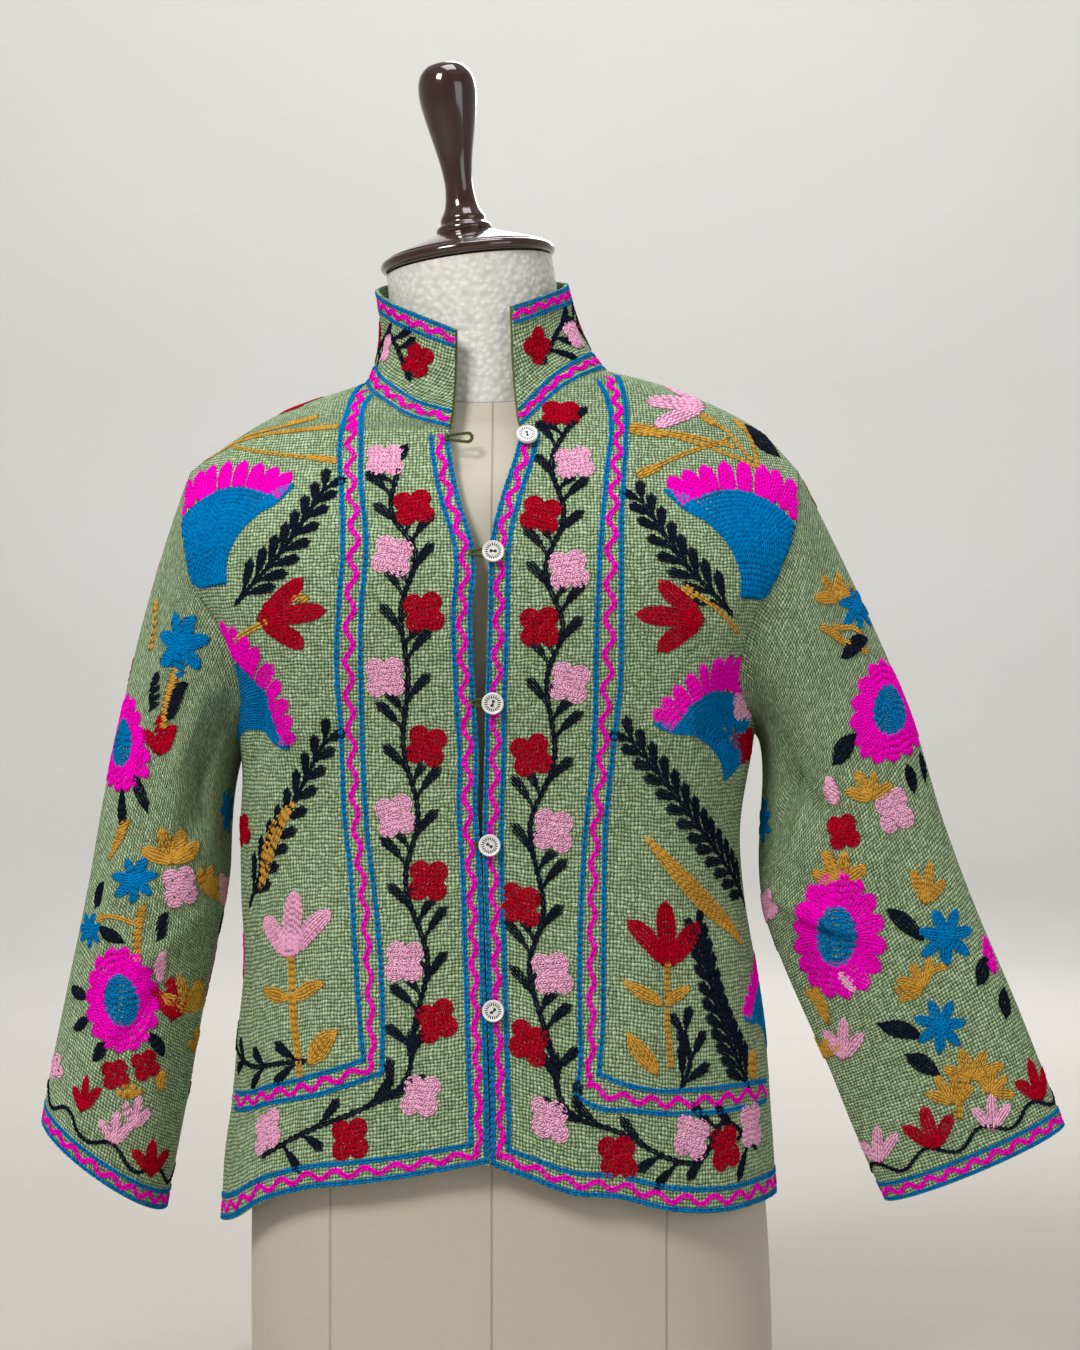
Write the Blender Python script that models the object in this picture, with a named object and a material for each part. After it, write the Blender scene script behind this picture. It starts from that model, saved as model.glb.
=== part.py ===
"""Embroidered jacket with a stand collar, worn by a limbless dress form.

Metres, +Z up. The garment's front faces -Y and +X is on the right as it is seen from the front.
The form stands on its own flat underside at z = 0.
Left and right mean left and right as seen from the front.
"""
import math

import bmesh
import bpy
import numpy as np
from mathutils import Matrix, Vector

# Where the body's axis stands, so that the whole is centred over the origin
PLACE = (-0.0446, 0.0071, 0.0)

# Cloth
CLOTH = 0.002
FACING = 0.001
SEAM_GAP = 0.0003
HALF_GAP = SEAM_GAP / 2

# Grids of the cloth pieces: rows below the armhole, beside it and above it
ROWS_BELOW = 12
ROWS_BESIDE = 10
ROWS_ABOVE = 6
ROWS = ROWS_BELOW + ROWS_BESIDE + ROWS_ABOVE
FRONT_COLUMNS = 9
BACK_COLUMNS = 16
SLEEVE_ROWS = 15
NECK_ROWS = 4
COLLAR_COLUMNS = BACK_COLUMNS + 2 * (NECK_ROWS + 1)
COLLAR_ROWS = 4
UNDERARM_SHARE = ROWS_BELOW / ROWS
TIP_SHARE = (ROWS_BELOW + ROWS_BESIDE) / ROWS
THROAT_SHARE = (ROWS - NECK_ROWS) / ROWS

# Heights, for the left side and the right side
HEM_HEIGHT = 0.178
UNDERARM_HEIGHT = (0.4795, 0.4950)
TIP_HEIGHT = (0.6790, 0.6783)
NECK_POINT_HEIGHT = (0.7385, 0.7475)

# Side slits
SLIT_LENGTH = 0.070
SLIT_SPREAD = 0.008

# Where the coat's neckline starts, beside the front opening, in degrees from the front
THROAT_TURN = (16.0, 14.0)
SHOULDER_TURN = 80.0

# The collar's top edge
COLLAR_TOP_CENTRE = (-0.0125, -0.012)
COLLAR_TOP_HALF_WIDTH = 0.0665
COLLAR_TOP_HALF_DEPTH = 0.0710
COLLAR_TOP_TURN = (8.2, 26.3)
COLLAR_HOLLOW = 0.0050

# Facing strips, in shares of one column of the cloth that they line
COLLAR_FACING = {"proud": 0.08, "width": 1.0}
SLIT_FACING = {"proud": 0.03, "width": 0.35}
SLIT_FACING_ROWS = 2

# The dress form
FORM_COLUMNS = 32
FORM_ROWS = 22
FORM_BODY_SHARE = 0.9
FORM_ROW_SPREAD = 0.85
FORM_SHOULDER_TOP = 0.725
FORM_THROAT_DIP = 0.020
FORM_DIP_START = 0.640
NECK_SEAM_CENTRE = (-0.0045, -0.006, 0.738)
NECK_SEAM_RADIUS = 0.0615
NECK_SEAM_TILT = 0.296
NECK_TOP_CENTRE = (-0.0140, -0.006, 0.8205)
NECK_TOP_RADIUS = 0.0575
CAP_LEAN = math.radians(-7.0)
CAP_CENTRE = (-0.0148, -0.006, 0.8212)

# Buttons and the cord loops that fasten them
BUTTON_RADIUS = 0.0073
BUTTON_THICK = 0.0030
SHANK_RADIUS = 0.0016
SHANK_LENGTH = 0.0031
CORD_RADIUS = 0.0012
LOOP_POINTS = 18
LOOP_EDGE_LAP = 0.0030
LOOP_WRAP = math.pi / 1.15
LOOP_PINCH = 0.40
BUTTON_FACE_SHARE = 0.90
BUTTON_ROUNDING = 0.3

# How near to a grid's row or column a place counts as lying on it
ON_LINE = 1e-4

# How far the cloth's rims lean out of the plane of the armhole
BODY_RIM_LEAN = 0.8
SLEEVE_RIM_LEAN = 0.3


class Table:
    """Rows of sizes with named columns, read on a smooth curve through the rows."""

    def __init__(self, columns, *rows):
        self.columns = columns.split()
        self.rows = np.array(rows, dtype=float)

    def read(self, column, place):
        keys = self.rows[:, 0]
        values = self.rows[:, self.columns.index(column)]
        slopes = np.gradient(values, keys)
        place = np.clip(np.asarray(place, dtype=float), keys[0], keys[-1])
        low = np.clip(np.searchsorted(keys, place) - 1, 0, len(keys) - 2)
        step = keys[low + 1] - keys[low]
        share = (place - keys[low]) / step
        rest = 1 - share
        ends = values[low] * rest**2 * (1 + 2 * share) + values[low + 1] * share**2 * (1 + 2 * rest)
        return ends + step * share * rest * (slopes[low] * rest - slopes[low + 1] * share)


# The jacket's outline as rings: how far each reaches to the left, right, front and back.
# Beside the armholes a ring runs on past the armhole seam, where the sleeve takes over.
BODY = Table(
    "height left right front back power",
    (0.1575, 0.1860, 0.2010, 0.1300, 0.1250, 2.3),
    (0.2030, 0.1840, 0.1985, 0.1300, 0.1240, 2.3),
    (0.2380, 0.1795, 0.1960, 0.1290, 0.1220, 2.3),
    (0.2870, 0.1755, 0.1920, 0.1270, 0.1170, 2.35),
    (0.3360, 0.1710, 0.1850, 0.1240, 0.1120, 2.4),
    (0.3850, 0.1730, 0.1770, 0.1220, 0.1080, 2.4),
    (0.4290, 0.1735, 0.1745, 0.1210, 0.1050, 2.4),
    (0.4795, 0.1730, 0.1820, 0.1240, 0.1060, 2.45),
    (0.5180, 0.1840, 0.1890, 0.1290, 0.1090, 2.5),
    (0.5600, 0.2050, 0.2060, 0.1340, 0.1120, 2.5),
    (0.5950, 0.2240, 0.2250, 0.1345, 0.1150, 2.45),
    (0.6300, 0.2330, 0.2350, 0.1280, 0.1170, 2.35),
    (0.6580, 0.2250, 0.2310, 0.1160, 0.1160, 2.15),
    (0.6790, 0.2065, 0.2142, 0.1050, 0.1120, 2.0),
    (0.6916, 0.1890, 0.2030, 0.0960, 0.1070, 2.0),
    (0.7063, 0.1670, 0.1880, 0.0870, 0.0980, 2.0),
    (0.7196, 0.1420, 0.1650, 0.0790, 0.0885, 2.0),
    (0.7343, 0.1000, 0.1290, 0.0710, 0.0785, 2.0),
    (0.7385, 0.0870, 0.1170, 0.0690, 0.0760, 2.0),
    (0.7475, 0.0790, 0.0820, 0.0650, 0.0715, 2.0),
    (0.7590, 0.0735, 0.0745, 0.0610, 0.0670, 2.0),
)

# The hem's height round the body
HEM = Table(
    "turn left right",
    (0, 0.2168, 0.2165),
    (12, 0.2115, 0.2065),
    (24, 0.2060, 0.1955),
    (36, 0.2010, 0.1915),
    (48, 0.1955, 0.1815),
    (60, 0.1840, 0.1775),
    (72, 0.1670, 0.1780),
    (90, 0.1560, 0.1760),
    (120, 0.1600, 0.1700),
    (150, 0.1650, 0.1660),
    (180, 0.1650, 0.1650),
)

# How far each front's edge lies to the right of the middle, going up
FRONT_EDGE = Table(
    "height left right",
    (0.2185, 0.0018, 0.0028),
    (0.3200, -0.0012, -0.0002),
    (0.4049, -0.0036, -0.0026),
    (0.4466, -0.0058, -0.0024),
    (0.4804, -0.0050, -0.0014),
    (0.5189, -0.0070, -0.0007),
    (0.5766, -0.0088, 0.0012),
    (0.6124, -0.0070, 0.0018),
    (0.6236, -0.0088, 0.0026),
    (0.6482, -0.0165, 0.0080),
    (0.6873, -0.0245, 0.0195),
    (0.7020, -0.0262, 0.0222),
)

# The armhole seam: how far out it lies, from the underarm to the shoulder tip
ARMHOLE = Table(
    "share left right",
    (0.0, 0.1730, 0.1862),
    (0.2, 0.1730, 0.1740),
    (0.4, 0.1800, 0.1770),
    (0.58, 0.1975, 0.1935),
    (0.75, 0.2060, 0.2065),
    (0.9, 0.2075, 0.2110),
    (1.0, 0.2065, 0.2142),
)

# The neckline's height round the neck, from the throat to the middle of the back
NECKLINE = Table(
    "turn left right",
    (14, 0.6988, 0.7014),
    (34, 0.7085, 0.7265),
    (48, 0.7210, 0.7375),
    (66, 0.7345, 0.7448),
    (80, 0.7385, 0.7475),
    (90, 0.7385, 0.7475),
    (110, 0.7450, 0.7490),
    (140, 0.7535, 0.7550),
    (180, 0.7570, 0.7570),
)

# The collar's top edge, going from its left front end round the back to its right front end
COLLAR_TOP = Table(
    "share height",
    (0.0, 0.7675),
    (0.10, 0.7830),
    (0.24, 0.8020),
    (0.50, 0.8200),
    (0.76, 0.8110),
    (0.90, 0.7970),
    (1.0, 0.7840),
)

# Sleeves: the outer and inner side of each ring, and how far it reaches forwards and back
SLEEVES = (
    Table(
        "share outer_x outer_z inner_x inner_z front back",
        (0.00, -0.2065, 0.6790, -0.1730, 0.4795, 0.0680, 0.0640),
        (0.07, -0.2205, 0.6496, -0.1785, 0.4640, 0.0690, 0.0640),
        (0.14, -0.2310, 0.6160, -0.1812, 0.4470, 0.0690, 0.0630),
        (0.29, -0.2492, 0.5418, -0.1818, 0.3990, 0.0660, 0.0600),
        (0.45, -0.2667, 0.4613, -0.1890, 0.3560, 0.0620, 0.0560),
        (0.61, -0.2793, 0.3885, -0.1995, 0.3060, 0.0590, 0.0530),
        (0.78, -0.2940, 0.3157, -0.2093, 0.2485, 0.0560, 0.0500),
        (0.92, -0.3066, 0.2520, -0.2205, 0.1900, 0.0540, 0.0470),
        (1.00, -0.3105, 0.2270, -0.2254, 0.1650, 0.0530, 0.0460),
    ),
    Table(
        "share outer_x outer_z inner_x inner_z front back",
        (0.00, 0.2142, 0.6783, 0.1862, 0.4950, 0.0680, 0.0640),
        (0.07, 0.2310, 0.6468, 0.1960, 0.4830, 0.0690, 0.0640),
        (0.14, 0.2480, 0.6130, 0.1950, 0.4655, 0.0680, 0.0630),
        (0.24, 0.2674, 0.5705, 0.1890, 0.4270, 0.0640, 0.0600),
        (0.38, 0.2933, 0.5089, 0.1900, 0.3800, 0.0580, 0.0540),
        (0.55, 0.3185, 0.4270, 0.2075, 0.3304, 0.0500, 0.0460),
        (0.67, 0.3395, 0.3710, 0.2254, 0.2905, 0.0450, 0.0410),
        (0.80, 0.3640, 0.3136, 0.2422, 0.2534, 0.0400, 0.0360),
        (0.92, 0.3871, 0.2555, 0.2604, 0.2030, 0.0360, 0.0320),
        (1.00, 0.3997, 0.2226, 0.2758, 0.1701, 0.0340, 0.0300),
    ),
)
SLEEVE_HANG_FORWARD = 0.010
ARMHOLE_BLEND = 0.26

# Soft folds in the body: where they lie, how wide they are in degrees and how high they stand
BODY_FOLDS = (
    {"turn": -64, "turn_up": -8, "low": 0.470, "high": 0.600, "width": 8, "rise": -0.0060},
    {"turn": -50, "turn_up": -10, "low": 0.470, "high": 0.620, "width": 9, "rise": 0.0035},
    {"turn": 64, "turn_up": 8, "low": 0.480, "high": 0.605, "width": 8, "rise": -0.0055},
    {"turn": 48, "turn_up": 12, "low": 0.470, "high": 0.620, "width": 9, "rise": 0.0030},
    {"turn": -70, "turn_up": 6, "low": 0.200, "high": 0.440, "width": 10, "rise": -0.0035},
    {"turn": 66, "turn_up": -4, "low": 0.200, "high": 0.430, "width": 10, "rise": -0.0035},
    {"turn": -150, "turn_up": 14, "low": 0.180, "high": 0.460, "width": 12, "rise": -0.0050},
    {"turn": 146, "turn_up": -12, "low": 0.180, "high": 0.480, "width": 12, "rise": -0.0050},
    {"turn": -118, "turn_up": 10, "low": 0.470, "high": 0.640, "width": 9, "rise": -0.0045},
    {"turn": 116, "turn_up": -8, "low": 0.480, "high": 0.640, "width": 9, "rise": -0.0045},
)
HEM_WAVE_TOP = 0.330
HEM_WAVE = 0.0035

# Sleeve folds: the pressed crease down the front, the underarm ridge and the slack behind
SLEEVE_FOLDS = (
    (
        {"turn": 118, "low": 0.10, "high": 0.80, "width": 9, "rise": 0.0040},
        {"turn": 18, "low": 0.20, "high": 0.98, "width": 9, "rise": 0.0030},
        {"turn": 60, "low": 0.02, "high": 0.36, "width": 13, "rise": -0.0060},
        {"turn": 250, "low": 0.15, "high": 0.70, "width": 16, "rise": -0.0050},
        {"turn": 300, "low": 0.05, "high": 0.45, "width": 14, "rise": -0.0050},
    ),
    (
        {"turn": 104, "low": 0.02, "high": 0.60, "width": 8, "rise": 0.0045},
        {"turn": 16, "low": 0.22, "high": 0.98, "width": 9, "rise": 0.0030},
        {"turn": 58, "low": 0.02, "high": 0.36, "width": 13, "rise": -0.0060},
        {"turn": 246, "low": 0.15, "high": 0.75, "width": 16, "rise": -0.0045},
        {"turn": 300, "low": 0.05, "high": 0.45, "width": 14, "rise": -0.0050},
    ),
)

# The form's own rings, which stay inside the jacket
FORM = Table(
    "height left right front back",
    (0.000, 0.1645, 0.2050, 0.1150, 0.1140),
    (0.080, 0.1660, 0.2030, 0.1160, 0.1140),
    (0.160, 0.1660, 0.1960, 0.1150, 0.1120),
    (0.238, 0.1640, 0.1860, 0.1130, 0.1080),
    (0.336, 0.1540, 0.1680, 0.1060, 0.0980),
    (0.429, 0.1470, 0.1530, 0.1020, 0.0900),
    (0.500, 0.1510, 0.1560, 0.1100, 0.0920),
    (0.560, 0.1580, 0.1610, 0.1190, 0.0980),
    (0.630, 0.1660, 0.1680, 0.1140, 0.1040),
    (0.679, 0.1690, 0.1720, 0.1010, 0.1040),
    (0.705, 0.1680, 0.1720, 0.0900, 0.0980),
    (0.740, 0.1600, 0.1700, 0.0820, 0.0900),
)
FORM_POWER = 2.3
FORM_UNDER_SHOULDER = 0.0024
FORM_IN_SIDE = 0.0012
FORM_IN_FRONT = 0.0030
SOFT_MEETING = 30

# The cap's and the knob's turned outlines, going up
CAP_OUTLINE = (
    {"radius": 0.0500, "height": 0.0000},
    {"radius": 0.0590, "height": 0.0008},
    {"radius": 0.0610, "height": 0.0040},
    {"radius": 0.0600, "height": 0.0072},
    {"radius": 0.0560, "height": 0.0098},
    {"radius": 0.0440, "height": 0.0140},
    {"radius": 0.0290, "height": 0.0190},
    {"radius": 0.0200, "height": 0.0225},
)
KNOB_OUTLINE = (
    {"radius": 0.0185, "height": 0.0000},
    {"radius": 0.0182, "height": 0.0035},
    {"radius": 0.0150, "height": 0.0080},
    {"radius": 0.0150, "height": 0.0100},
    {"radius": 0.0112, "height": 0.0190},
    {"radius": 0.0098, "height": 0.0360},
    {"radius": 0.0118, "height": 0.0520},
    {"radius": 0.0160, "height": 0.0720},
    {"radius": 0.0195, "height": 0.0900},
    {"radius": 0.0202, "height": 0.1000},
    {"radius": 0.0185, "height": 0.1095},
    {"radius": 0.0135, "height": 0.1160},
    {"radius": 0.0060, "height": 0.1192},
)

# Buttons, down the right front's edge; the top one is open
BUTTONS = (
    {"x": 0.0264, "height": 0.6926, "fastened": False},
    {"x": 0.0046, "height": 0.6150, "fastened": True},
    {"x": 0.0042, "height": 0.5176, "fastened": True},
    {"x": 0.0020, "height": 0.4241, "fastened": True},
    {"x": 0.0044, "height": 0.3160, "fastened": True},
)
FREE_LOOP_LENGTH = 0.0150


def mixed(pair, side):
    """The value between the left one, side 0, and the right one, side 1."""
    return pair[0] + (pair[1] - pair[0]) * side


def eased(share):
    share = np.clip(share, 0, 1)
    return share * share * (3 - 2 * share)


def faded(share):
    """1 along a fold's middle, and nothing at its two ends."""
    return eased(4 * share) * eased(4 - 4 * share)


def bump(distance, width):
    return np.exp(-((distance / width) ** 2))


def unit(vectors):
    return vectors / np.maximum(np.linalg.norm(vectors, axis=-1, keepdims=True), 1e-12)


def fold_rise(turn, height):
    """How far the folds and the hem's waves move the cloth outwards."""
    degrees = np.degrees(np.arctan2(np.sin(turn), np.cos(turn)))
    rise = np.zeros_like(height)
    for fold in BODY_FOLDS:
        share = (height - fold["low"]) / (fold["high"] - fold["low"])
        middle = fold["turn"] + fold["turn_up"] * share
        rise = rise + fold["rise"] * bump(degrees - middle, fold["width"]) * faded(share)
    wave = np.sin(np.radians(degrees) * 7 + 0.6) + 0.5 * np.sin(np.radians(degrees) * 12 + 2.1)
    return rise + HEM_WAVE * wave * np.clip((HEM_WAVE_TOP - height) / HEM_WAVE_TOP, 0, 1) ** 1.5


def ring(turn, height, left, right, front, back, power):
    sine = np.sin(turn)
    cosine = np.cos(turn)
    across = np.where(sine < 0, left, right)
    depth = np.where(cosine > 0, front, back)
    reach = (np.abs(sine / across) ** power + np.abs(cosine / depth) ** power) ** (-1 / power)
    return np.stack([reach * sine, -reach * cosine, height], axis=-1)


def body(turn, height):
    """The jacket's outer face, at a turn from the front and a height."""
    height = np.asarray(height, dtype=float) + 0 * turn
    sizes = [BODY.read(name, height) for name in BODY.columns[1:]]
    point = ring(turn, height, *sizes)
    outwards = np.stack([np.sin(turn), -np.cos(turn), 0 * turn], axis=-1)
    return point + outwards * fold_rise(turn, height)[..., None]


def turn_at(x, height, back=False):
    """The turn from the front at which the jacket's ring is x from the middle."""
    side = "left" if np.mean(x) < 0 else "right"
    across = BODY.read(side, height)
    depth = BODY.read("back" if back else "front", height)
    power = BODY.read("power", height)
    ratio = np.minimum(np.abs(x) / across, 1)
    y = depth * (1 - ratio**power) ** (1 / power)
    turn = np.arctan2(np.abs(x), y)
    return np.pi - turn if back else turn


def level(share, side):
    """The height of a row of the body's grids, above the hem."""
    low = mixed(UNDERARM_HEIGHT, side)
    tip = mixed(TIP_HEIGHT, side)
    top = mixed(NECK_POINT_HEIGHT, side)
    beside = (1 - np.cos(np.pi * armhole_share(share))) / 2
    above = (share - TIP_SHARE) / (1 - TIP_SHARE)
    below = HEM_HEIGHT + (low - HEM_HEIGHT) * share / UNDERARM_SHARE
    upper = np.where(share < TIP_SHARE, low + (tip - low) * beside, tip + (top - tip) * above)
    return np.where(share < UNDERARM_SHARE, below, upper)


def armhole_share(share):
    return np.clip((share - UNDERARM_SHARE) / (TIP_SHARE - UNDERARM_SHARE), 0, 1)


def seam_turn(share, side, back):
    """The turn at which a panel ends: its side seam, its armhole or its shoulder seam."""
    height = level(share, side)
    name = ("left", "right")[side]
    rise = (1 - np.cos(np.pi * armhole_share(share))) / 2
    out = ARMHOLE.read(name, rise) * (2 * side - 1)
    seam_gap = HALF_GAP / BODY.read(name, height)
    straight = np.pi / 2 + (seam_gap if back else -seam_gap)
    open_share = np.clip(1 - (height - HEM_HEIGHT) / SLIT_LENGTH, 0, 1)
    if not back:
        straight = straight - SLIT_SPREAD / BODY.read(name, height) * open_share**1.5
    inside = (share > UNDERARM_SHARE + ON_LINE) & (share < TIP_SHARE - ON_LINE)
    return np.where(inside, turn_at(out, height, back), straight)


def hem_height(turn):
    degrees = np.degrees(np.arctan2(np.sin(turn), np.cos(turn)))
    return np.where(degrees < 0, HEM.read("left", -degrees), HEM.read("right", degrees))


def settled(turn, height, share):
    """Rows below the underarm are drawn down to the hem's own line."""
    rest = np.clip(1 - share / UNDERARM_SHARE, 0, 1)
    return height + (hem_height(turn) - HEM_HEIGHT) * rest


def neckline_height(turn):
    degrees = np.degrees(np.arctan2(np.sin(turn), np.cos(turn)))
    return np.where(degrees < 0, NECKLINE.read("left", -degrees), NECKLINE.read("right", degrees))


def neckline_turn(side, height):
    """How far round from the front the neckline reaches a height."""
    turns = np.linspace(THROAT_TURN[side], SHOULDER_TURN, 80)
    return np.interp(height, NECKLINE.read(("left", "right")[side], turns), np.radians(turns))


def front(side, u, v):
    """A front panel's outer face, from its opening edge, u 0, to its seams, u 1."""
    name = ("left", "right")[side]
    facing = 2 * side - 1
    height = level(v, side)
    edge = facing * np.arctan2(FRONT_EDGE.read(name, height), BODY.read("front", height))
    start = np.where(v > THROAT_SHARE - ON_LINE, neckline_turn(side, height), edge)
    turn = facing * (start + (seam_turn(v, side, False) - start) * u)
    point = body(turn, settled(turn, height, v))
    return armhole_gap(point, u > 1 - ON_LINE, v, -facing)


def back(u, v):
    """The back panel's outer face, from its left seams, u 0, to its right ones, u 1."""
    left = -seam_turn(v, 0, True)
    right = seam_turn(v, 1, True) - 2 * np.pi
    turn = left + (right - left) * u
    lift = np.clip((v - TIP_SHARE) / (1 - TIP_SHARE), 0, 1) ** 2
    height = settled(turn, level(v, u), v)
    height = height + (neckline_height(turn) - level(1 + 0 * v, u)) * lift
    point = body(turn, height)
    point = armhole_gap(point, u < ON_LINE, v, 1)
    return armhole_gap(point, u > 1 - ON_LINE, v, -1)


def armhole_gap(point, on_edge, v, facing):
    """Moves a panel's edge half a seam gap away from the sleeve."""
    beside = (v > UNDERARM_SHARE - ON_LINE) & (v < TIP_SHARE + ON_LINE) & on_edge
    point[..., 0] += np.where(beside, HALF_GAP * facing, 0)
    return point


def armhole(side, turn):
    """The armhole seam as a loop: turn 0 is the underarm, and the front comes first."""
    name = ("left", "right")[side]
    facing = 2 * side - 1
    rise = (1 - np.cos(turn)) / 2
    low = UNDERARM_HEIGHT[side]
    height = low + (TIP_HEIGHT[side] - low) * rise
    out = ARMHOLE.read(name, rise) * facing
    before = facing * turn_at(out, height, False)
    behind = facing * turn_at(out, height, True)
    ends = np.minimum(rise, 1 - rise) < 1e-6
    around = np.where(ends, facing * np.pi / 2, np.where(np.sin(turn) > 0, before, behind))
    return body(around, height)


def sleeve(side, u, v):
    """A sleeve's outer face, round it with u and down it with v."""
    facing = 2 * side - 1
    turn = 2 * np.pi * u
    sizes = {name: SLEEVES[side].read(name, v) for name in SLEEVES[side].columns[1:]}
    middle_x = (sizes["outer_x"] + sizes["inner_x"]) / 2
    middle_z = (sizes["outer_z"] + sizes["inner_z"]) / 2
    half_x = (sizes["outer_x"] - sizes["inner_x"]) / 2
    half_z = (sizes["outer_z"] - sizes["inner_z"]) / 2
    depth = np.where(np.sin(turn) > 0, sizes["front"], sizes["back"])
    rise = np.zeros_like(turn)
    degrees = np.mod(np.degrees(turn), 360)
    for fold in SLEEVE_FOLDS[side]:
        share = (v - fold["low"]) / (fold["high"] - fold["low"])
        away = np.abs(np.mod(degrees - fold["turn"] + 180, 360) - 180)
        rise = rise + fold["rise"] * bump(away, fold["width"]) * faded(share)
    swell = 1 + rise / depth
    x = middle_x - half_x * np.cos(turn) * swell
    z = middle_z - half_z * np.cos(turn) * swell
    y = -depth * np.sin(turn) * swell - SLEEVE_HANG_FORWARD * eased(v)
    hanging = np.stack([x, y, z], axis=-1)
    share = eased(v / ARMHOLE_BLEND)[..., None]
    point = armhole(side, turn) * (1 - share) + hanging * share
    point[..., 0] += HALF_GAP * facing * (1 - eased(v / ARMHOLE_BLEND))
    return point


def collar_turn(u):
    """The turn of the collar's foot: its columns meet the panels' rows and columns."""
    rows = THROAT_SHARE + (1 - THROAT_SHARE) * np.arange(NECK_ROWS + 1) / NECK_ROWS
    left = -neckline_turn(0, level(rows, 0))
    right = neckline_turn(1, level(rows, 1)) - 2 * np.pi
    behind = -np.pi / 2 - np.pi * np.arange(BACK_COLUMNS + 1) / BACK_COLUMNS
    turns = np.concatenate([left, behind, right[::-1]])
    return np.interp(u * COLLAR_COLUMNS, np.arange(len(turns)), turns)


def collar(u, v):
    """The collar's outer face, from its left front end, u 0, round the back, and up with v."""
    turn = collar_turn(u)
    foot = body(turn, neckline_height(turn))
    foot[..., 2] += SEAM_GAP
    top_start = math.radians(-COLLAR_TOP_TURN[0])
    top_end = math.radians(COLLAR_TOP_TURN[1]) - 2 * np.pi
    top_turn = top_start + (top_end - top_start) * u
    top = np.stack(
        [
            COLLAR_TOP_CENTRE[0] + COLLAR_TOP_HALF_WIDTH * np.sin(top_turn),
            COLLAR_TOP_CENTRE[1] - COLLAR_TOP_HALF_DEPTH * np.cos(top_turn),
            COLLAR_TOP.read("height", u),
        ],
        axis=-1,
    )
    point = foot + (top - foot) * v[..., None]
    inwards = -np.stack([np.sin(turn), -np.cos(turn), 0 * turn], axis=-1)
    hollow = COLLAR_HOLLOW * np.sin(np.pi * np.clip(v, 0, 1) ** 0.75)
    return point + inwards * hollow[..., None]


def inside_of(surface, sign, u, v, step=0.004):
    """The direction from a surface to its inner side."""
    across = surface(np.clip(u + step, -0.1, 1), v) - surface(np.clip(u - step, -0.1, 1), v)
    along = surface(u, np.clip(v + step, 0, 1)) - surface(u, np.clip(v - step, 0, 1))
    return -sign * unit(np.cross(across, along))


def toward_armhole_middle(side, point):
    middle = (mixed(UNDERARM_HEIGHT, side) + mixed(TIP_HEIGHT, side)) / 2
    aim = np.stack([0 * point[..., 0], -point[..., 1], middle - point[..., 2]], axis=-1)
    return unit(aim)


def body_inside(turn, height):
    """The body's inner direction at a seam, the same for the pieces on both its sides."""
    step = 0.003
    around = body(turn + step, height) - body(turn - step, height)
    upwards = body(turn, height + step) - body(turn, height - step)
    return -unit(np.cross(around, upwards))


def panel_inside(surface, sign, sides, u, v):
    """A panel's inner direction, turned at its seams so that its neighbours fit it."""
    point = surface(u, v)
    aim = inside_of(surface, sign, u, v)
    beside = (v > UNDERARM_SHARE - ON_LINE) & (v < TIP_SHARE + ON_LINE)
    for side, on_edge in sides(u):
        facing = 2 * side - 1
        into_body = np.array([-facing, 0.0, 0.0])
        rim = unit(toward_armhole_middle(side, point) + BODY_RIM_LEAN * into_body)
        seam = body_inside(np.full_like(u, facing * np.pi / 2), point[..., 2])
        aim = np.where((on_edge & beside)[..., None], rim, aim)
        aim = np.where((on_edge & ~beside)[..., None], seam, aim)
    return aim


def sleeve_inside(side, u, v):
    facing = 2 * side - 1
    step = 0.004
    across = sleeve(side, u + step, v) - sleeve(side, u - step, v)
    along = sleeve(side, u, np.clip(v + step, 0, 1)) - sleeve(side, u, np.clip(v - step, 0, 1))
    aim = facing * unit(np.cross(across, along))
    out_of_body = np.array([facing, 0.0, 0.0])
    rim = unit(toward_armhole_middle(side, sleeve(side, u, v)) + SLEEVE_RIM_LEAN * out_of_body)
    return np.where((v < ON_LINE)[..., None], rim, aim)


def collar_inside(u, v):
    aim = inside_of(collar, -1, u, v)
    flat = aim.copy()
    flat[..., 2] = 0
    return np.where((v < ON_LINE)[..., None], unit(flat), aim)


def material(name, colour, roughness, metallic=0.0):
    made = bpy.data.materials.new(name)
    made.use_nodes = True
    shader = made.node_tree.nodes["Principled BSDF"]
    shader.inputs["Base Color"].default_value = (*colour, 1)
    shader.inputs["Roughness"].default_value = roughness
    shader.inputs["Metallic"].default_value = metallic
    made.diffuse_color = (*colour, 1)
    return made


def add_object(name, bm, finish, crease_angle=40):
    bmesh.ops.recalc_face_normals(bm, faces=bm.faces[:])
    if bm.calc_volume(signed=True) < 0:
        bmesh.ops.reverse_faces(bm, faces=bm.faces[:])
    mesh = bpy.data.meshes.new(name)
    bm.to_mesh(mesh)
    bm.free()
    mesh.shade_smooth()
    mesh.set_sharp_from_angle(angle=math.radians(crease_angle))
    mesh.materials.append(finish)
    obj = bpy.data.objects.new(name, mesh)
    bpy.context.collection.objects.link(obj)
    return obj


def grid(columns, rows, tube):
    """A grid that remembers each point's place, u across it and v along it."""
    bm = bmesh.new()
    across = bm.verts.layers.float.new("u")
    along = bm.verts.layers.float.new("v")
    bmesh.ops.create_grid(bm, x_segments=columns, y_segments=rows, size=0.5)
    for vert in bm.verts:
        vert[across] = round((vert.co.x + 0.5) * columns) / columns
        vert[along] = round((vert.co.y + 0.5) * rows) / rows
        if tube:
            turn = 2 * math.pi * vert[across]
            vert.co = (math.cos(turn), math.sin(turn), vert[along])
    if tube:
        bmesh.ops.remove_doubles(bm, verts=bm.verts[:], dist=ON_LINE)
    return bm, across, along


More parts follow.
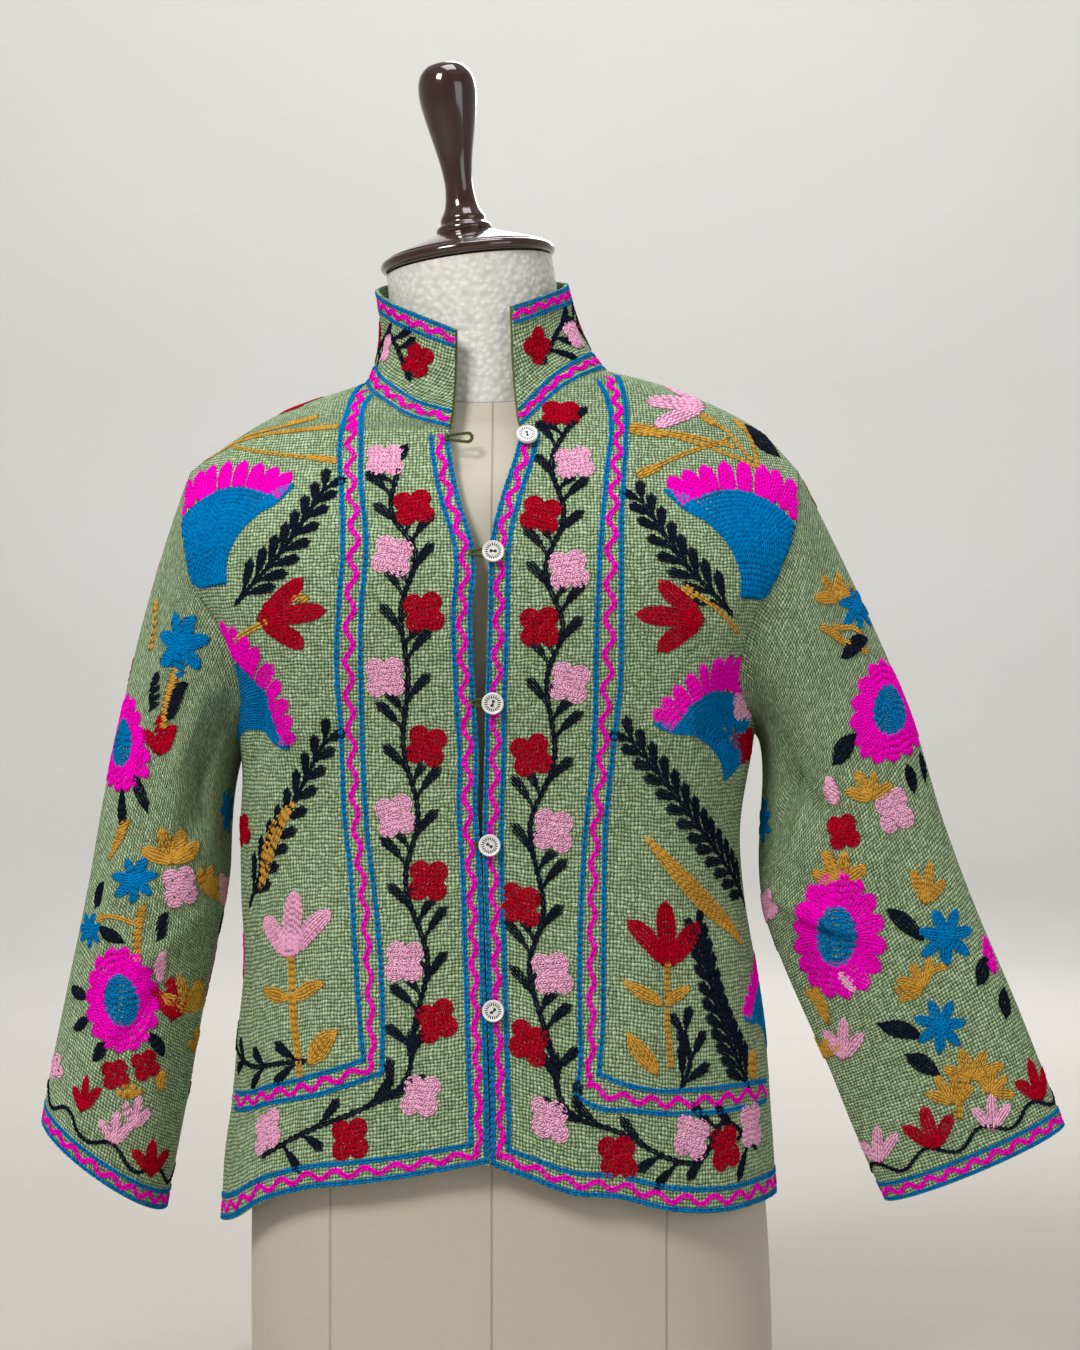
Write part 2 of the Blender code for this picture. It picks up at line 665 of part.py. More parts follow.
def set_points(verts, across, along, surface):
    verts = list(verts)
    u = np.array([vert[across] for vert in verts])
    v = np.array([vert[along] for vert in verts])
    for vert, point in zip(verts, surface(u, v)):
        vert.co = point


def cloth(name, columns, rows, outer, inside, finish, tube=False, wall=CLOTH, depth=0.0):
    """A cloth wall: a grid laid on a surface, extruded to its inner face."""
    bm, across, along = grid(columns, rows, tube)
    lifted = bmesh.ops.extrude_face_region(bm, geom=bm.faces[:])["geom"]
    inner = {item for item in lifted if isinstance(item, bmesh.types.BMVert)}
    outer_verts = [vert for vert in bm.verts if vert not in inner]
    set_points(outer_verts, across, along, lambda u, v: outer(u, v) + inside(u, v) * depth)
    set_points(inner, across, along, lambda u, v: outer(u, v) + inside(u, v) * (depth + wall))
    return add_object(name, bm, finish)


def filled(name, columns, rows, surface, finish):
    """A solid tube, closed at both ends."""
    bm, across, along = grid(columns, rows, True)
    set_points(bm.verts, across, along, surface)
    rims = [edge for edge in bm.edges if edge.is_boundary]
    bmesh.ops.holes_fill(bm, edges=rims, sides=0)
    return add_object(name, bm, finish)


def turned(name, outline, steps, place, finish):
    """A solid turned round its own upright axis, then put in its place."""
    bm = bmesh.new()
    points = [Vector((row["radius"], 0, row["height"])) for row in outline]
    points = [Vector((0, 0, points[0].z))] + points + [Vector((0, 0, points[-1].z))]
    verts = [bm.verts.new(point) for point in points]
    for first, second in zip(verts, verts[1:]):
        bm.edges.new((first, second))
    bmesh.ops.spin(
        bm,
        geom=bm.verts[:] + bm.edges[:],
        cent=(0, 0, 0),
        axis=(0, 0, 1),
        angle=2 * math.pi,
        steps=steps,
        use_merge=True,
    )
    bmesh.ops.remove_doubles(bm, verts=bm.verts[:], dist=1e-6)
    bmesh.ops.transform(bm, matrix=place, verts=bm.verts[:])
    return add_object(name, bm, finish, 50)


def form_ring(turn, height):
    sizes = {name: FORM.read(name, height) for name in FORM.columns[1:]}
    under = height + FORM_UNDER_SHOULDER
    room = {"left": FORM_IN_SIDE, "right": FORM_IN_SIDE, "front": FORM_IN_FRONT, "back": FORM_IN_FRONT}
    for name, inset in room.items():
        jacket = BODY.read(name, under) - inset
        sizes[name] = (sizes[name] ** -SOFT_MEETING + jacket**-SOFT_MEETING) ** (-1 / SOFT_MEETING)
    power = np.minimum(FORM_POWER, BODY.read("power", under))
    near_top = eased((height - FORM_DIP_START) / (FORM_SHOULDER_TOP - FORM_DIP_START))
    dip = FORM_THROAT_DIP * near_top * np.maximum(np.cos(turn), 0) ** 2
    return ring(turn, height - dip, power=power, **sizes)


def neck_ring(turn, share):
    low = np.array(NECK_SEAM_CENTRE)
    centre = low + (np.array(NECK_TOP_CENTRE) - low) * share[..., None]
    radius = NECK_SEAM_RADIUS + (NECK_TOP_RADIUS - NECK_SEAM_RADIUS) * share
    x = radius * np.sin(turn)
    y = -radius * np.cos(turn)
    tilt = NECK_SEAM_TILT * (1 - share) * y + math.tan(-CAP_LEAN) * share * x
    return centre + np.stack([x, y, tilt], axis=-1)


def form_torso(u, v):
    """The form's skin: rings up to the shoulders, then a sweep in to the neck seam."""
    turn = 2 * np.pi * u
    height = FORM_SHOULDER_TOP * np.minimum(v / FORM_BODY_SHARE, 1) ** FORM_ROW_SPREAD
    sweep = eased((v - FORM_BODY_SHARE) / (1 - FORM_BODY_SHARE))[..., None]
    shoulder = form_ring(turn, height)
    seam = neck_ring(turn, 0 * turn)
    seam[..., 2] -= SEAM_GAP
    return shoulder * (1 - sweep) + seam * sweep


def form_neck(u, v):
    return neck_ring(2 * np.pi * u, v)


def on_front(x, height, out):
    """A point in front of the jacket's face at x and a height, and the face's direction."""
    x = np.atleast_1d(np.asarray(x, dtype=float))
    height = np.atleast_1d(np.asarray(height, dtype=float)) + 0 * x
    depth = BODY.read("front", height)
    turn = np.arctan2(x, depth)
    away = -body_inside(turn, height)
    return body(turn, height) + away * out, away


def button(index, row, finish):
    place, away = on_front(row["x"], row["height"], SEAM_GAP)
    upright = Vector((0, 0, 1)).rotation_difference(Vector(away[0])).to_matrix().to_4x4()
    outline = (
        {"radius": SHANK_RADIUS, "height": 0.0},
        {"radius": SHANK_RADIUS, "height": SHANK_LENGTH},
        {"radius": BUTTON_RADIUS * BUTTON_FACE_SHARE, "height": SHANK_LENGTH},
        {"radius": BUTTON_RADIUS, "height": SHANK_LENGTH + BUTTON_THICK * BUTTON_ROUNDING},
        {"radius": BUTTON_RADIUS, "height": SHANK_LENGTH + BUTTON_THICK * (1 - BUTTON_ROUNDING)},
        {"radius": BUTTON_RADIUS * BUTTON_FACE_SHARE, "height": SHANK_LENGTH + BUTTON_THICK},
    )
    turned(f"button_{index}", outline, 20, Matrix.Translation(Vector(place[0])) @ upright, finish)


def loop(index, row, finish):
    """A cord loop that starts and ends on the left front's edge and rounds the shank."""
    height = row["height"]
    edge = float(FRONT_EDGE.read("left", height)) - LOOP_EDGE_LAP
    rest = SEAM_GAP + CORD_RADIUS
    round_shank = SHANK_RADIUS + CORD_RADIUS + SEAM_GAP
    reach = row["x"] if row["fastened"] else edge + LOOP_EDGE_LAP + FREE_LOOP_LENGTH - round_shank
    path = []
    for step in range(LOOP_POINTS + 1):
        share = step / LOOP_POINTS
        turn = LOOP_WRAP * (1 - 2 * share)
        narrow = 1 + LOOP_PINCH * min(math.cos(turn), 0)
        x = reach + round_shank * math.cos(turn)
        z = height + round_shank * math.sin(turn) * narrow
        if math.cos(turn) < 0:
            x = reach + (edge - reach) * math.cos(turn) / math.cos(LOOP_WRAP)
        path.append(on_front(x, z, rest)[0][0])
    curve = bpy.data.curves.new(f"loop_{index}", "CURVE")
    curve.dimensions = "3D"
    curve.bevel_depth = CORD_RADIUS
    curve.bevel_resolution = 1
    curve.use_fill_caps = True
    spline = curve.splines.new("POLY")
    spline.points.add(len(path) - 1)
    for target, place in zip(spline.points, path):
        target.co = (*place, 1)
    curve.materials.append(finish)
    made = bpy.data.objects.new(f"loop_{index}", curve)
    bpy.context.collection.objects.link(made)


def clear_scene():
    for obj in list(bpy.data.objects):
        bpy.data.objects.remove(obj)


def build_form(cover, neck_cover, wood):
    filled("form_torso", FORM_COLUMNS, FORM_ROWS, form_torso, cover)
    filled("form_neck", FORM_COLUMNS, 3, form_neck, neck_cover)
    lean = Matrix.Rotation(CAP_LEAN, 4, "Y")
    cap_place = Matrix.Translation(Vector(CAP_CENTRE)) @ lean
    turned("form_cap", CAP_OUTLINE, 32, cap_place, wood)
    top = CAP_OUTLINE[-1]["height"] + SEAM_GAP
    knob_place = cap_place @ Matrix.Translation((0, 0, top))
    turned("form_knob", KNOB_OUTLINE, 24, knob_place, wood)


def build_jacket(fabric, facing_cloth):
    for side, name in enumerate(("left", "right")):
        facing = 2 * side - 1
        shape = lambda u, v, side=side: front(side, u, v)
        edges = lambda u, side=side: [(side, u > 1 - ON_LINE)]
        aim = lambda u, v, shape=shape, edges=edges, facing=facing: panel_inside(shape, facing, edges, u, v)
        cloth(f"front_{name}", FRONT_COLUMNS, ROWS, shape, aim, fabric)
        tube = lambda u, v, side=side: sleeve(side, u, v)
        tube_aim = lambda u, v, side=side: sleeve_inside(side, u, v)
        cloth(f"sleeve_{name}", 2 * ROWS_BESIDE, SLEEVE_ROWS, tube, tube_aim, fabric, tube=True)
    back_edges = lambda u: [(0, u < ON_LINE), (1, u > 1 - ON_LINE)]
    back_aim = lambda u, v: panel_inside(back, -1, back_edges, u, v)
    cloth("back", BACK_COLUMNS, ROWS, back, back_aim, fabric)
    cloth("collar", COLLAR_COLUMNS, COLLAR_ROWS, collar, collar_inside, fabric)

    for name, first, second in (("left", 0, 1), ("right", COLLAR_COLUMNS, COLLAR_COLUMNS - 1)):
        columns = (first / COLLAR_COLUMNS, second / COLLAR_COLUMNS)
        rows = (COLLAR_ROWS, 1)
        strip(f"collar_facing_{name}", collar, collar_inside, columns, rows, COLLAR_FACING, facing_cloth)
    for name, first, second in (("left", 0, 1), ("right", BACK_COLUMNS, BACK_COLUMNS - 1)):
        columns = (first / BACK_COLUMNS, second / BACK_COLUMNS)
        rows = (SLIT_FACING_ROWS, SLIT_FACING_ROWS / ROWS)
        strip(f"slit_facing_{name}", back, back_aim, columns, rows, SLIT_FACING, facing_cloth)


def strip(name, surface, inside, columns, rows, sizes, finish):
    """A facing strip behind one column of a cloth piece, standing a little proud of its edge."""
    row_count, top = rows

    def between(shape, u, v):
        share = (u * (sizes["width"] + sizes["proud"]) - sizes["proud"])[:, None]
        return shape(0 * u + columns[0], v * top) * (1 - share) + shape(0 * u + columns[1], v * top) * share

    face = lambda u, v: between(surface, u, v)
    aim = lambda u, v: between(inside, u, v)
    cloth(name, 1, row_count, face, aim, finish, wall=FACING, depth=CLOTH + SEAM_GAP)


def build_fastenings(pearl, cord):
    for index, row in enumerate(BUTTONS, start=1):
        button(index, row, pearl)
        loop(index, row, cord)


def main():
    clear_scene()
    fabric = material("sage_wool", (0.22, 0.33, 0.16), 0.9)
    facing_cloth = material("olive_facing", (0.14, 0.17, 0.05), 0.85)
    cover = material("cream_cover", (0.74, 0.69, 0.58), 0.85)
    neck_cover = material("neck_cover", (0.66, 0.66, 0.63), 0.75)
    wood = material("dark_wood", (0.045, 0.014, 0.012), 0.18)
    pearl = material("button_white", (0.80, 0.80, 0.76), 0.35)
    cord = material("olive_cord", (0.13, 0.16, 0.05), 0.8)
    build_form(cover, neck_cover, wood)
    build_jacket(fabric, facing_cloth)
    build_fastenings(pearl, cord)
    for obj in bpy.data.objects:
        obj.location = PLACE


main()
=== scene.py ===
"""Embroidered jacket on a limbless dress form: cloth, chain-stitch embroidery and the form.

Metres, +Z up. The garment's front faces -Y; left and right are as seen from the front.
"""

import math
from functools import partial

import bmesh
import bpy
import numpy as np
from mathutils import Matrix, Vector


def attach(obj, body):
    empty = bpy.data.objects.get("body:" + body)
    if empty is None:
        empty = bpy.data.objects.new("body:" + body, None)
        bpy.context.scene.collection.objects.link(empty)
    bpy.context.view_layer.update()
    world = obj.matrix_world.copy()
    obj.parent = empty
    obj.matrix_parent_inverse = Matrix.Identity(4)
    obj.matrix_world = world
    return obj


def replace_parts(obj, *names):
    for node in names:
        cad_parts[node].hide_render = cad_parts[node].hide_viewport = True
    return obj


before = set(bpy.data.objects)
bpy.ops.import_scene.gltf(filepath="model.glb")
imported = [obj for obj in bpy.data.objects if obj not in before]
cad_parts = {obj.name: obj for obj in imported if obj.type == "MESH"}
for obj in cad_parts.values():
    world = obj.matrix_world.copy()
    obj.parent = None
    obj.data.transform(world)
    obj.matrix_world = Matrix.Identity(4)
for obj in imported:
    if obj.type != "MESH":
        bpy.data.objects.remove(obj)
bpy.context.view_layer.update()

RANDOM = np.random.default_rng(7)

# How many times finer than the CAD grids the cloth is here
FINER_COLUMNS = 5
FINER_ROWS = 5
FINER_SLEEVE_ROWS = 6
FINER_COLLAR_ROWS = 6

SIDES = ("left", "right")

# Where the body's axis stands, so that the whole is centred over the origin
PLACE = (-0.0446, 0.0071, 0.0)

# Cloth
CLOTH = 0.002
FACING = 0.001
SEAM_GAP = 0.0003
HALF_GAP = SEAM_GAP / 2

# Grids of the cloth pieces: rows below the armhole, beside it and above it
ROWS_BELOW = 12
ROWS_BESIDE = 10
ROWS_ABOVE = 6
ROWS = ROWS_BELOW + ROWS_BESIDE + ROWS_ABOVE
FRONT_COLUMNS = 9
BACK_COLUMNS = 16
SLEEVE_ROWS = 15
NECK_ROWS = 4
COLLAR_COLUMNS = BACK_COLUMNS + 2 * (NECK_ROWS + 1)
COLLAR_ROWS = 4
UNDERARM_SHARE = ROWS_BELOW / ROWS
TIP_SHARE = (ROWS_BELOW + ROWS_BESIDE) / ROWS
THROAT_SHARE = (ROWS - NECK_ROWS) / ROWS

# Heights, for the left side and the right side
HEM_HEIGHT = 0.178
UNDERARM_HEIGHT = (0.4795, 0.4950)
TIP_HEIGHT = (0.6790, 0.6783)
NECK_POINT_HEIGHT = (0.7385, 0.7475)

# Side slits
SLIT_LENGTH = 0.070
SLIT_SPREAD = 0.008

# Where the coat's neckline starts, beside the front opening, in degrees from the front
THROAT_TURN = (16.0, 14.0)
SHOULDER_TURN = 80.0

# The collar's top edge
COLLAR_TOP_CENTRE = (-0.0125, -0.012)
COLLAR_TOP_HALF_WIDTH = 0.0665
COLLAR_TOP_HALF_DEPTH = 0.0710
COLLAR_TOP_TURN = (8.2, 26.3)
COLLAR_HOLLOW = 0.0050

# Facing strips, in shares of one column of the cloth that they line
COLLAR_FACING = {"proud": 0.08, "width": 1.0}
SLIT_FACING = {"proud": 0.03, "width": 0.35}
SLIT_FACING_ROWS = 2

# The dress form
FORM_BODY_SHARE = 0.9
FORM_ROW_SPREAD = 0.85
FORM_SHOULDER_TOP = 0.725
FORM_THROAT_DIP = 0.020
FORM_DIP_START = 0.640
NECK_SEAM_CENTRE = (-0.0045, -0.006, 0.738)
NECK_SEAM_RADIUS = 0.0615
NECK_SEAM_TILT = 0.296
NECK_TOP_CENTRE = (-0.0140, -0.006, 0.8205)
NECK_TOP_RADIUS = 0.0575
CAP_LEAN = math.radians(-7.0)
CAP_CENTRE = (-0.0148, -0.006, 0.8212)

# Buttons and the cord loops that fasten them
BUTTON_RADIUS = 0.0073
BUTTON_THICK = 0.0030
SHANK_RADIUS = 0.0016
SHANK_LENGTH = 0.0031
CORD_RADIUS = 0.0012
LOOP_POINTS = 18
LOOP_EDGE_LAP = 0.0030
LOOP_WRAP = math.pi / 1.15
LOOP_PINCH = 0.40

# How near to a grid's row or column a place counts as lying on it
ON_LINE = 1e-4

# How far the cloth's rims lean out of the plane of the armhole
BODY_RIM_LEAN = 0.8
SLEEVE_RIM_LEAN = 0.3


def numbers(text):
    """A text's numbers, one row a line."""
    return [[float(word) for word in line.split()] for line in text.strip().splitlines()]


def curve(keys, values, place):
    """Values between keys, on a smooth curve through them."""
    slopes = np.gradient(values, keys)
    place = np.clip(np.asarray(place, dtype=float), keys[0], keys[-1])
    low = np.clip(np.searchsorted(keys, place) - 1, 0, len(keys) - 2)
    step = keys[low + 1] - keys[low]
    share = (place - keys[low]) / step
    rest = 1 - share
    ends = values[low] * rest**2 * (1 + 2 * share) + values[low + 1] * share**2 * (1 + 2 * rest)
    return ends + step * share * rest * (slopes[low] * rest - slopes[low + 1] * share)


class Table:
    """Rows of sizes with named columns, read on a smooth curve through the rows."""

    def __init__(self, columns, text):
        self.columns = columns.split()
        self.rows = np.array(numbers(text))

    def read(self, column, place):
        return curve(self.rows[:, 0], self.rows[:, self.columns.index(column)], place)

    def sizes(self, place):
        """Every size at a place, by the name of its column."""
        return {name: self.read(name, place) for name in self.columns[1:]}


# The jacket's outline as rings: how far each reaches to the left, right, front and back.
# Beside the armholes a ring runs on past the armhole seam, where the sleeve takes over.
BODY = Table("height left right front back power", """
0.1575 0.1860 0.2010 0.1300 0.1250 2.3
0.2030 0.1840 0.1985 0.1300 0.1240 2.3
0.2380 0.1795 0.1960 0.1290 0.1220 2.3
0.2870 0.1755 0.1920 0.1270 0.1170 2.35
0.3360 0.1710 0.1850 0.1240 0.1120 2.4
0.3850 0.1730 0.1770 0.1220 0.1080 2.4
0.4290 0.1735 0.1745 0.1210 0.1050 2.4
0.4795 0.1730 0.1820 0.1240 0.1060 2.45
0.5180 0.1840 0.1890 0.1290 0.1090 2.5
0.5600 0.2050 0.2060 0.1340 0.1120 2.5
0.5950 0.2240 0.2250 0.1345 0.1150 2.45
0.6300 0.2330 0.2350 0.1280 0.1170 2.35
0.6580 0.2250 0.2310 0.1160 0.1160 2.15
0.6790 0.2065 0.2142 0.1050 0.1120 2.0
0.6916 0.1890 0.2030 0.0960 0.1070 2.0
0.7063 0.1670 0.1880 0.0870 0.0980 2.0
0.7196 0.1420 0.1650 0.0790 0.0885 2.0
0.7343 0.1000 0.1290 0.0710 0.0785 2.0
0.7385 0.0870 0.1170 0.0690 0.0760 2.0
0.7475 0.0790 0.0820 0.0650 0.0715 2.0
0.7590 0.0735 0.0745 0.0610 0.0670 2.0
""")

# The hem's height round the body
HEM = Table("turn left right", """
0 0.2168 0.2165
12 0.2115 0.2065
24 0.2060 0.1955
36 0.2010 0.1915
48 0.1955 0.1815
60 0.1840 0.1775
72 0.1670 0.1780
90 0.1560 0.1760
120 0.1600 0.1700
150 0.1650 0.1660
180 0.1650 0.1650
""")

# How far each front's edge lies to the right of the middle, going up
FRONT_EDGE = Table("height left right", """
0.2185 0.0018 0.0028
0.3200 -0.0012 -0.0002
0.4049 -0.0036 -0.0026
0.4466 -0.0058 -0.0024
0.4804 -0.0050 -0.0014
0.5189 -0.0070 -0.0007
0.5766 -0.0088 0.0012
0.6124 -0.0070 0.0018
0.6236 -0.0088 0.0026
0.6482 -0.0165 0.0080
0.6873 -0.0245 0.0195
0.7020 -0.0262 0.0222
""")

# The armhole seam: how far out it lies, from the underarm to the shoulder tip
ARMHOLE = Table("share left right", """
0.0 0.1730 0.1862
0.2 0.1730 0.1740
0.4 0.1800 0.1770
0.58 0.1975 0.1935
0.75 0.2060 0.2065
0.9 0.2075 0.2110
1.0 0.2065 0.2142
""")

# The neckline's height round the neck, from the throat to the middle of the back
NECKLINE = Table("turn left right", """
14 0.6988 0.7014
34 0.7085 0.7265
48 0.7210 0.7375
66 0.7345 0.7448
80 0.7385 0.7475
90 0.7385 0.7475
110 0.7450 0.7490
140 0.7535 0.7550
180 0.7570 0.7570
""")

# The collar's top edge, going from its left front end round the back to its right front end
COLLAR_TOP = Table("share height", """
0.0 0.7675
0.10 0.7830
0.24 0.8020
0.50 0.8200
0.76 0.8110
0.90 0.7970
1.0 0.7840
""")

# Sleeves: the outer and inner side of each ring, and how far it reaches forwards and back
SLEEVES = (
    Table("share outer_x outer_z inner_x inner_z front back", """
0.00 -0.2065 0.6790 -0.1730 0.4795 0.0680 0.0640
0.07 -0.2205 0.6496 -0.1785 0.4640 0.0690 0.0640
0.14 -0.2310 0.6160 -0.1812 0.4470 0.0690 0.0630
0.29 -0.2492 0.5418 -0.1818 0.3990 0.0660 0.0600
0.45 -0.2667 0.4613 -0.1890 0.3560 0.0620 0.0560
0.61 -0.2793 0.3885 -0.1995 0.3060 0.0590 0.0530
0.78 -0.2940 0.3157 -0.2093 0.2485 0.0560 0.0500
0.92 -0.3066 0.2520 -0.2205 0.1900 0.0540 0.0470
1.00 -0.3105 0.2270 -0.2254 0.1650 0.0530 0.0460
"""),
    Table("share outer_x outer_z inner_x inner_z front back", """
0.00 0.2142 0.6783 0.1862 0.4950 0.0680 0.0640
0.07 0.2310 0.6468 0.1960 0.4830 0.0690 0.0640
0.14 0.2480 0.6130 0.1950 0.4655 0.0680 0.0630
0.24 0.2674 0.5705 0.1890 0.4270 0.0640 0.0600
0.38 0.2933 0.5089 0.1900 0.3800 0.0580 0.0540
0.55 0.3185 0.4270 0.2075 0.3304 0.0500 0.0460
0.67 0.3395 0.3710 0.2254 0.2905 0.0450 0.0410
0.80 0.3640 0.3136 0.2422 0.2534 0.0400 0.0360
0.92 0.3871 0.2555 0.2604 0.2030 0.0360 0.0320
1.00 0.3997 0.2226 0.2758 0.1701 0.0340 0.0300
"""),
)
SLEEVE_HANG_FORWARD = 0.010
ARMHOLE_BLEND = 0.26

# Soft folds and creases in the body: the turn in degrees of the low end, how far it turns on the way up, the
# heights of the low and high ends, the width in degrees and how high the fold stands
BODY_FOLDS = numbers("""
-64 -8 0.470 0.600 8 -0.0060
-50 -10 0.470 0.620 9 0.0035
64 8 0.480 0.605 8 -0.0055
48 12 0.470 0.620 9 0.0030
-70 6 0.200 0.440 10 -0.0035
66 -4 0.200 0.430 10 -0.0035
-150 14 0.180 0.460 12 -0.0050
146 -12 0.180 0.480 12 -0.0050
-118 10 0.470 0.640 9 -0.0045
116 -8 0.480 0.640 9 -0.0045
-78 30 0.455 0.560 3.0 -0.0035
-70 26 0.440 0.520 2.6 0.0029
-40 -6 0.250 0.430 5.0 0.0026
-56 5 0.210 0.370 4.0 -0.0029
-24 3 0.220 0.330 4.5 -0.0016
75 -28 0.470 0.570 3.0 -0.0038
66 -20 0.440 0.530 2.8 0.0027
40 6 0.240 0.410 5.0 0.0022
54 -4 0.200 0.390 4.0 -0.0026
22 -2 0.215 0.320 4.2 -0.0018
-168 8 0.300 0.520 6.0 0.0029
172 -5 0.420 0.610 5.0 -0.0024
-132 -18 0.440 0.560 4.0 0.0032
130 20 0.450 0.575 3.6 0.0029
158 4 0.200 0.330 5.0 0.0024
-100 6 0.300 0.450 5.0 -0.0032
101 -7 0.290 0.440 5.0 -0.0029
""")
HEM_WAVE_TOP = 0.330
HEM_WAVE = 0.0035

# Sleeve folds and creases: the turn in degrees of the upper end, how far it turns on the way down, the shares
# of the sleeve's length at its ends, the width in degrees and how high it stands
SLEEVE_FOLDS = (
    numbers("""
118 0 0.10 0.80 9 0.0040
18 0 0.20 0.98 9 0.0030
60 0 0.02 0.36 13 -0.0060
250 0 0.15 0.70 16 -0.0050
300 0 0.05 0.45 14 -0.0050
40 50 0.20 0.46 7 -0.0043
22 70 0.36 0.66 6 0.0038
50 40 0.55 0.80 8 -0.0032
150 -30 0.06 0.26 7 -0.0035
96 16 0.72 0.99 6 0.0026
218 50 0.30 0.60 8 0.0043
280 -40 0.42 0.74 8 -0.0046
330 -30 0.18 0.40 7 0.0035
40 34 0.03 0.36 6 -0.0065
60 28 0.05 0.30 5 0.0048
78 -34 0.10 0.32 5 -0.0040
"""),
    numbers("""
104 0 0.02 0.60 8 0.0045
16 0 0.22 0.98 9 0.0030
58 0 0.02 0.36 13 -0.0060
246 0 0.15 0.75 16 -0.0045
300 0 0.05 0.45 14 -0.0050
36 56 0.16 0.42 7 -0.0043
20 60 0.34 0.60 6 0.0041
56 36 0.50 0.78 8 -0.0029
146 -24 0.05 0.24 7 -0.0032
100 -18 0.74 0.98 6 0.0023
222 44 0.28 0.62 8 0.0041
284 -36 0.40 0.70 8 -0.0043
326 -26 0.20 0.44 7 0.0038
36 40 0.03 0.40 6 -0.0065
58 30 0.04 0.32 5 0.0050
80 -30 0.12 0.36 5 -0.0040
"""),
)

# The form's own rings, which stay inside the jacket
FORM = Table("height left right front back", """
0.000 0.1645 0.2050 0.1150 0.1140
0.080 0.1660 0.2030 0.1160 0.1140
0.160 0.1660 0.1960 0.1150 0.1120
0.238 0.1640 0.1860 0.1130 0.1080
0.336 0.1540 0.1680 0.1060 0.0980
0.429 0.1470 0.1530 0.1020 0.0900
0.500 0.1510 0.1560 0.1100 0.0920
0.560 0.1580 0.1610 0.1190 0.0980
0.630 0.1660 0.1680 0.1140 0.1040
0.679 0.1690 0.1720 0.1010 0.1040
0.705 0.1680 0.1720 0.0900 0.0980
0.740 0.1600 0.1700 0.0820 0.0900
""")
FORM_POWER = 2.3
FORM_UNDER_SHOULDER = 0.0024
FORM_IN_SIDE = 0.0012
FORM_IN_FRONT = 0.0030
SOFT_MEETING = 30

# How high the knob stands on the form's cap
CAP_HEIGHT = 0.0225

# Buttons, down the right front's edge: x, height, and whether it is in its loop
BUTTONS = numbers("""
0.0264 0.6926 0
0.0046 0.6150 1
0.0042 0.5176 1
0.0020 0.4241 1
0.0044 0.3160 1
""")
FREE_LOOP_LENGTH = 0.0150


def mixed(pair, side):
    """The value between the left one, side 0, and the right one, side 1."""
    return pair[0] + (pair[1] - pair[0]) * side


def eased(share):
    share = np.clip(share, 0, 1)
    return share * share * (3 - 2 * share)


def faded(share):
    """1 along a fold's middle, and nothing at its two ends."""
    return eased(4 * share) * eased(4 - 4 * share)


def bump(distance, width):
    return np.exp(-((distance / width) ** 2))


def unit(vectors):
    return vectors / np.maximum(np.linalg.norm(vectors, axis=-1, keepdims=True), 1e-12)


def signed_degrees(turn):
    return np.degrees(np.arctan2(np.sin(turn), np.cos(turn)))


def both_sides(table, turn):
    """A table's value at a turn from the front, to the left of it or to the right."""
    degrees = signed_degrees(turn)
    return np.where(degrees < 0, table.read("left", -degrees), table.read("right", degrees))


def outwards(turn):
    return np.stack([np.sin(turn), -np.cos(turn), 0 * turn], axis=-1)


def fold_rise(folds, degrees, along, closed):
    """How far folds move the cloth outwards. A closed piece's folds go on past the end of a full turn."""
    rise = 0 * along
    for turn, turn_on, low, high, width, tall in folds:
        share = (along - low) / (high - low)
        away = degrees - (turn + turn_on * share)
        if closed:
            away = np.mod(away + 180, 360) - 180
        rise = rise + tall * bump(away, width) * faded(share)
    return rise


def ring(turn, height, left, right, front, back, power):
    sine = np.sin(turn)
    cosine = np.cos(turn)
    across = np.where(sine < 0, left, right)
    depth = np.where(cosine > 0, front, back)
    reach = (np.abs(sine / across) ** power + np.abs(cosine / depth) ** power) ** (-1 / power)
    return np.stack([reach * sine, -reach * cosine, height], axis=-1)


def body(turn, height):
    """The jacket's outer face, at a turn from the front and a height."""
    height = np.asarray(height, dtype=float) + 0 * turn
    degrees = signed_degrees(turn)
    wave = np.sin(np.radians(degrees) * 7 + 0.6) + 0.5 * np.sin(np.radians(degrees) * 12 + 2.1)
    near_hem = np.clip((HEM_WAVE_TOP - height) / HEM_WAVE_TOP, 0, 1) ** 1.5
    rise = fold_rise(BODY_FOLDS, degrees, height, False) + HEM_WAVE * wave * near_hem
    return ring(turn, height, **BODY.sizes(height)) + outwards(turn) * rise[..., None]


def turn_at(x, height, back=False):
    """The turn from the front at which the jacket's ring is x from the middle."""
    side = "left" if np.mean(x) < 0 else "right"
    across = BODY.read(side, height)
    depth = BODY.read("back" if back else "front", height)
    power = BODY.read("power", height)
    ratio = np.minimum(np.abs(x) / across, 1)
    y = depth * (1 - ratio**power) ** (1 / power)
    turn = np.arctan2(np.abs(x), y)
    return np.pi - turn if back else turn


def level(share, side):
    """The height of a row of the body's grids, above the hem."""
    low = mixed(UNDERARM_HEIGHT, side)
    tip = mixed(TIP_HEIGHT, side)
    top = mixed(NECK_POINT_HEIGHT, side)
    beside = (1 - np.cos(np.pi * armhole_share(share))) / 2
    above = (share - TIP_SHARE) / (1 - TIP_SHARE)
    below = HEM_HEIGHT + (low - HEM_HEIGHT) * share / UNDERARM_SHARE
    upper = np.where(share < TIP_SHARE, low + (tip - low) * beside, tip + (top - tip) * above)
    return np.where(share < UNDERARM_SHARE, below, upper)


def armhole_share(share):
    return np.clip((share - UNDERARM_SHARE) / (TIP_SHARE - UNDERARM_SHARE), 0, 1)


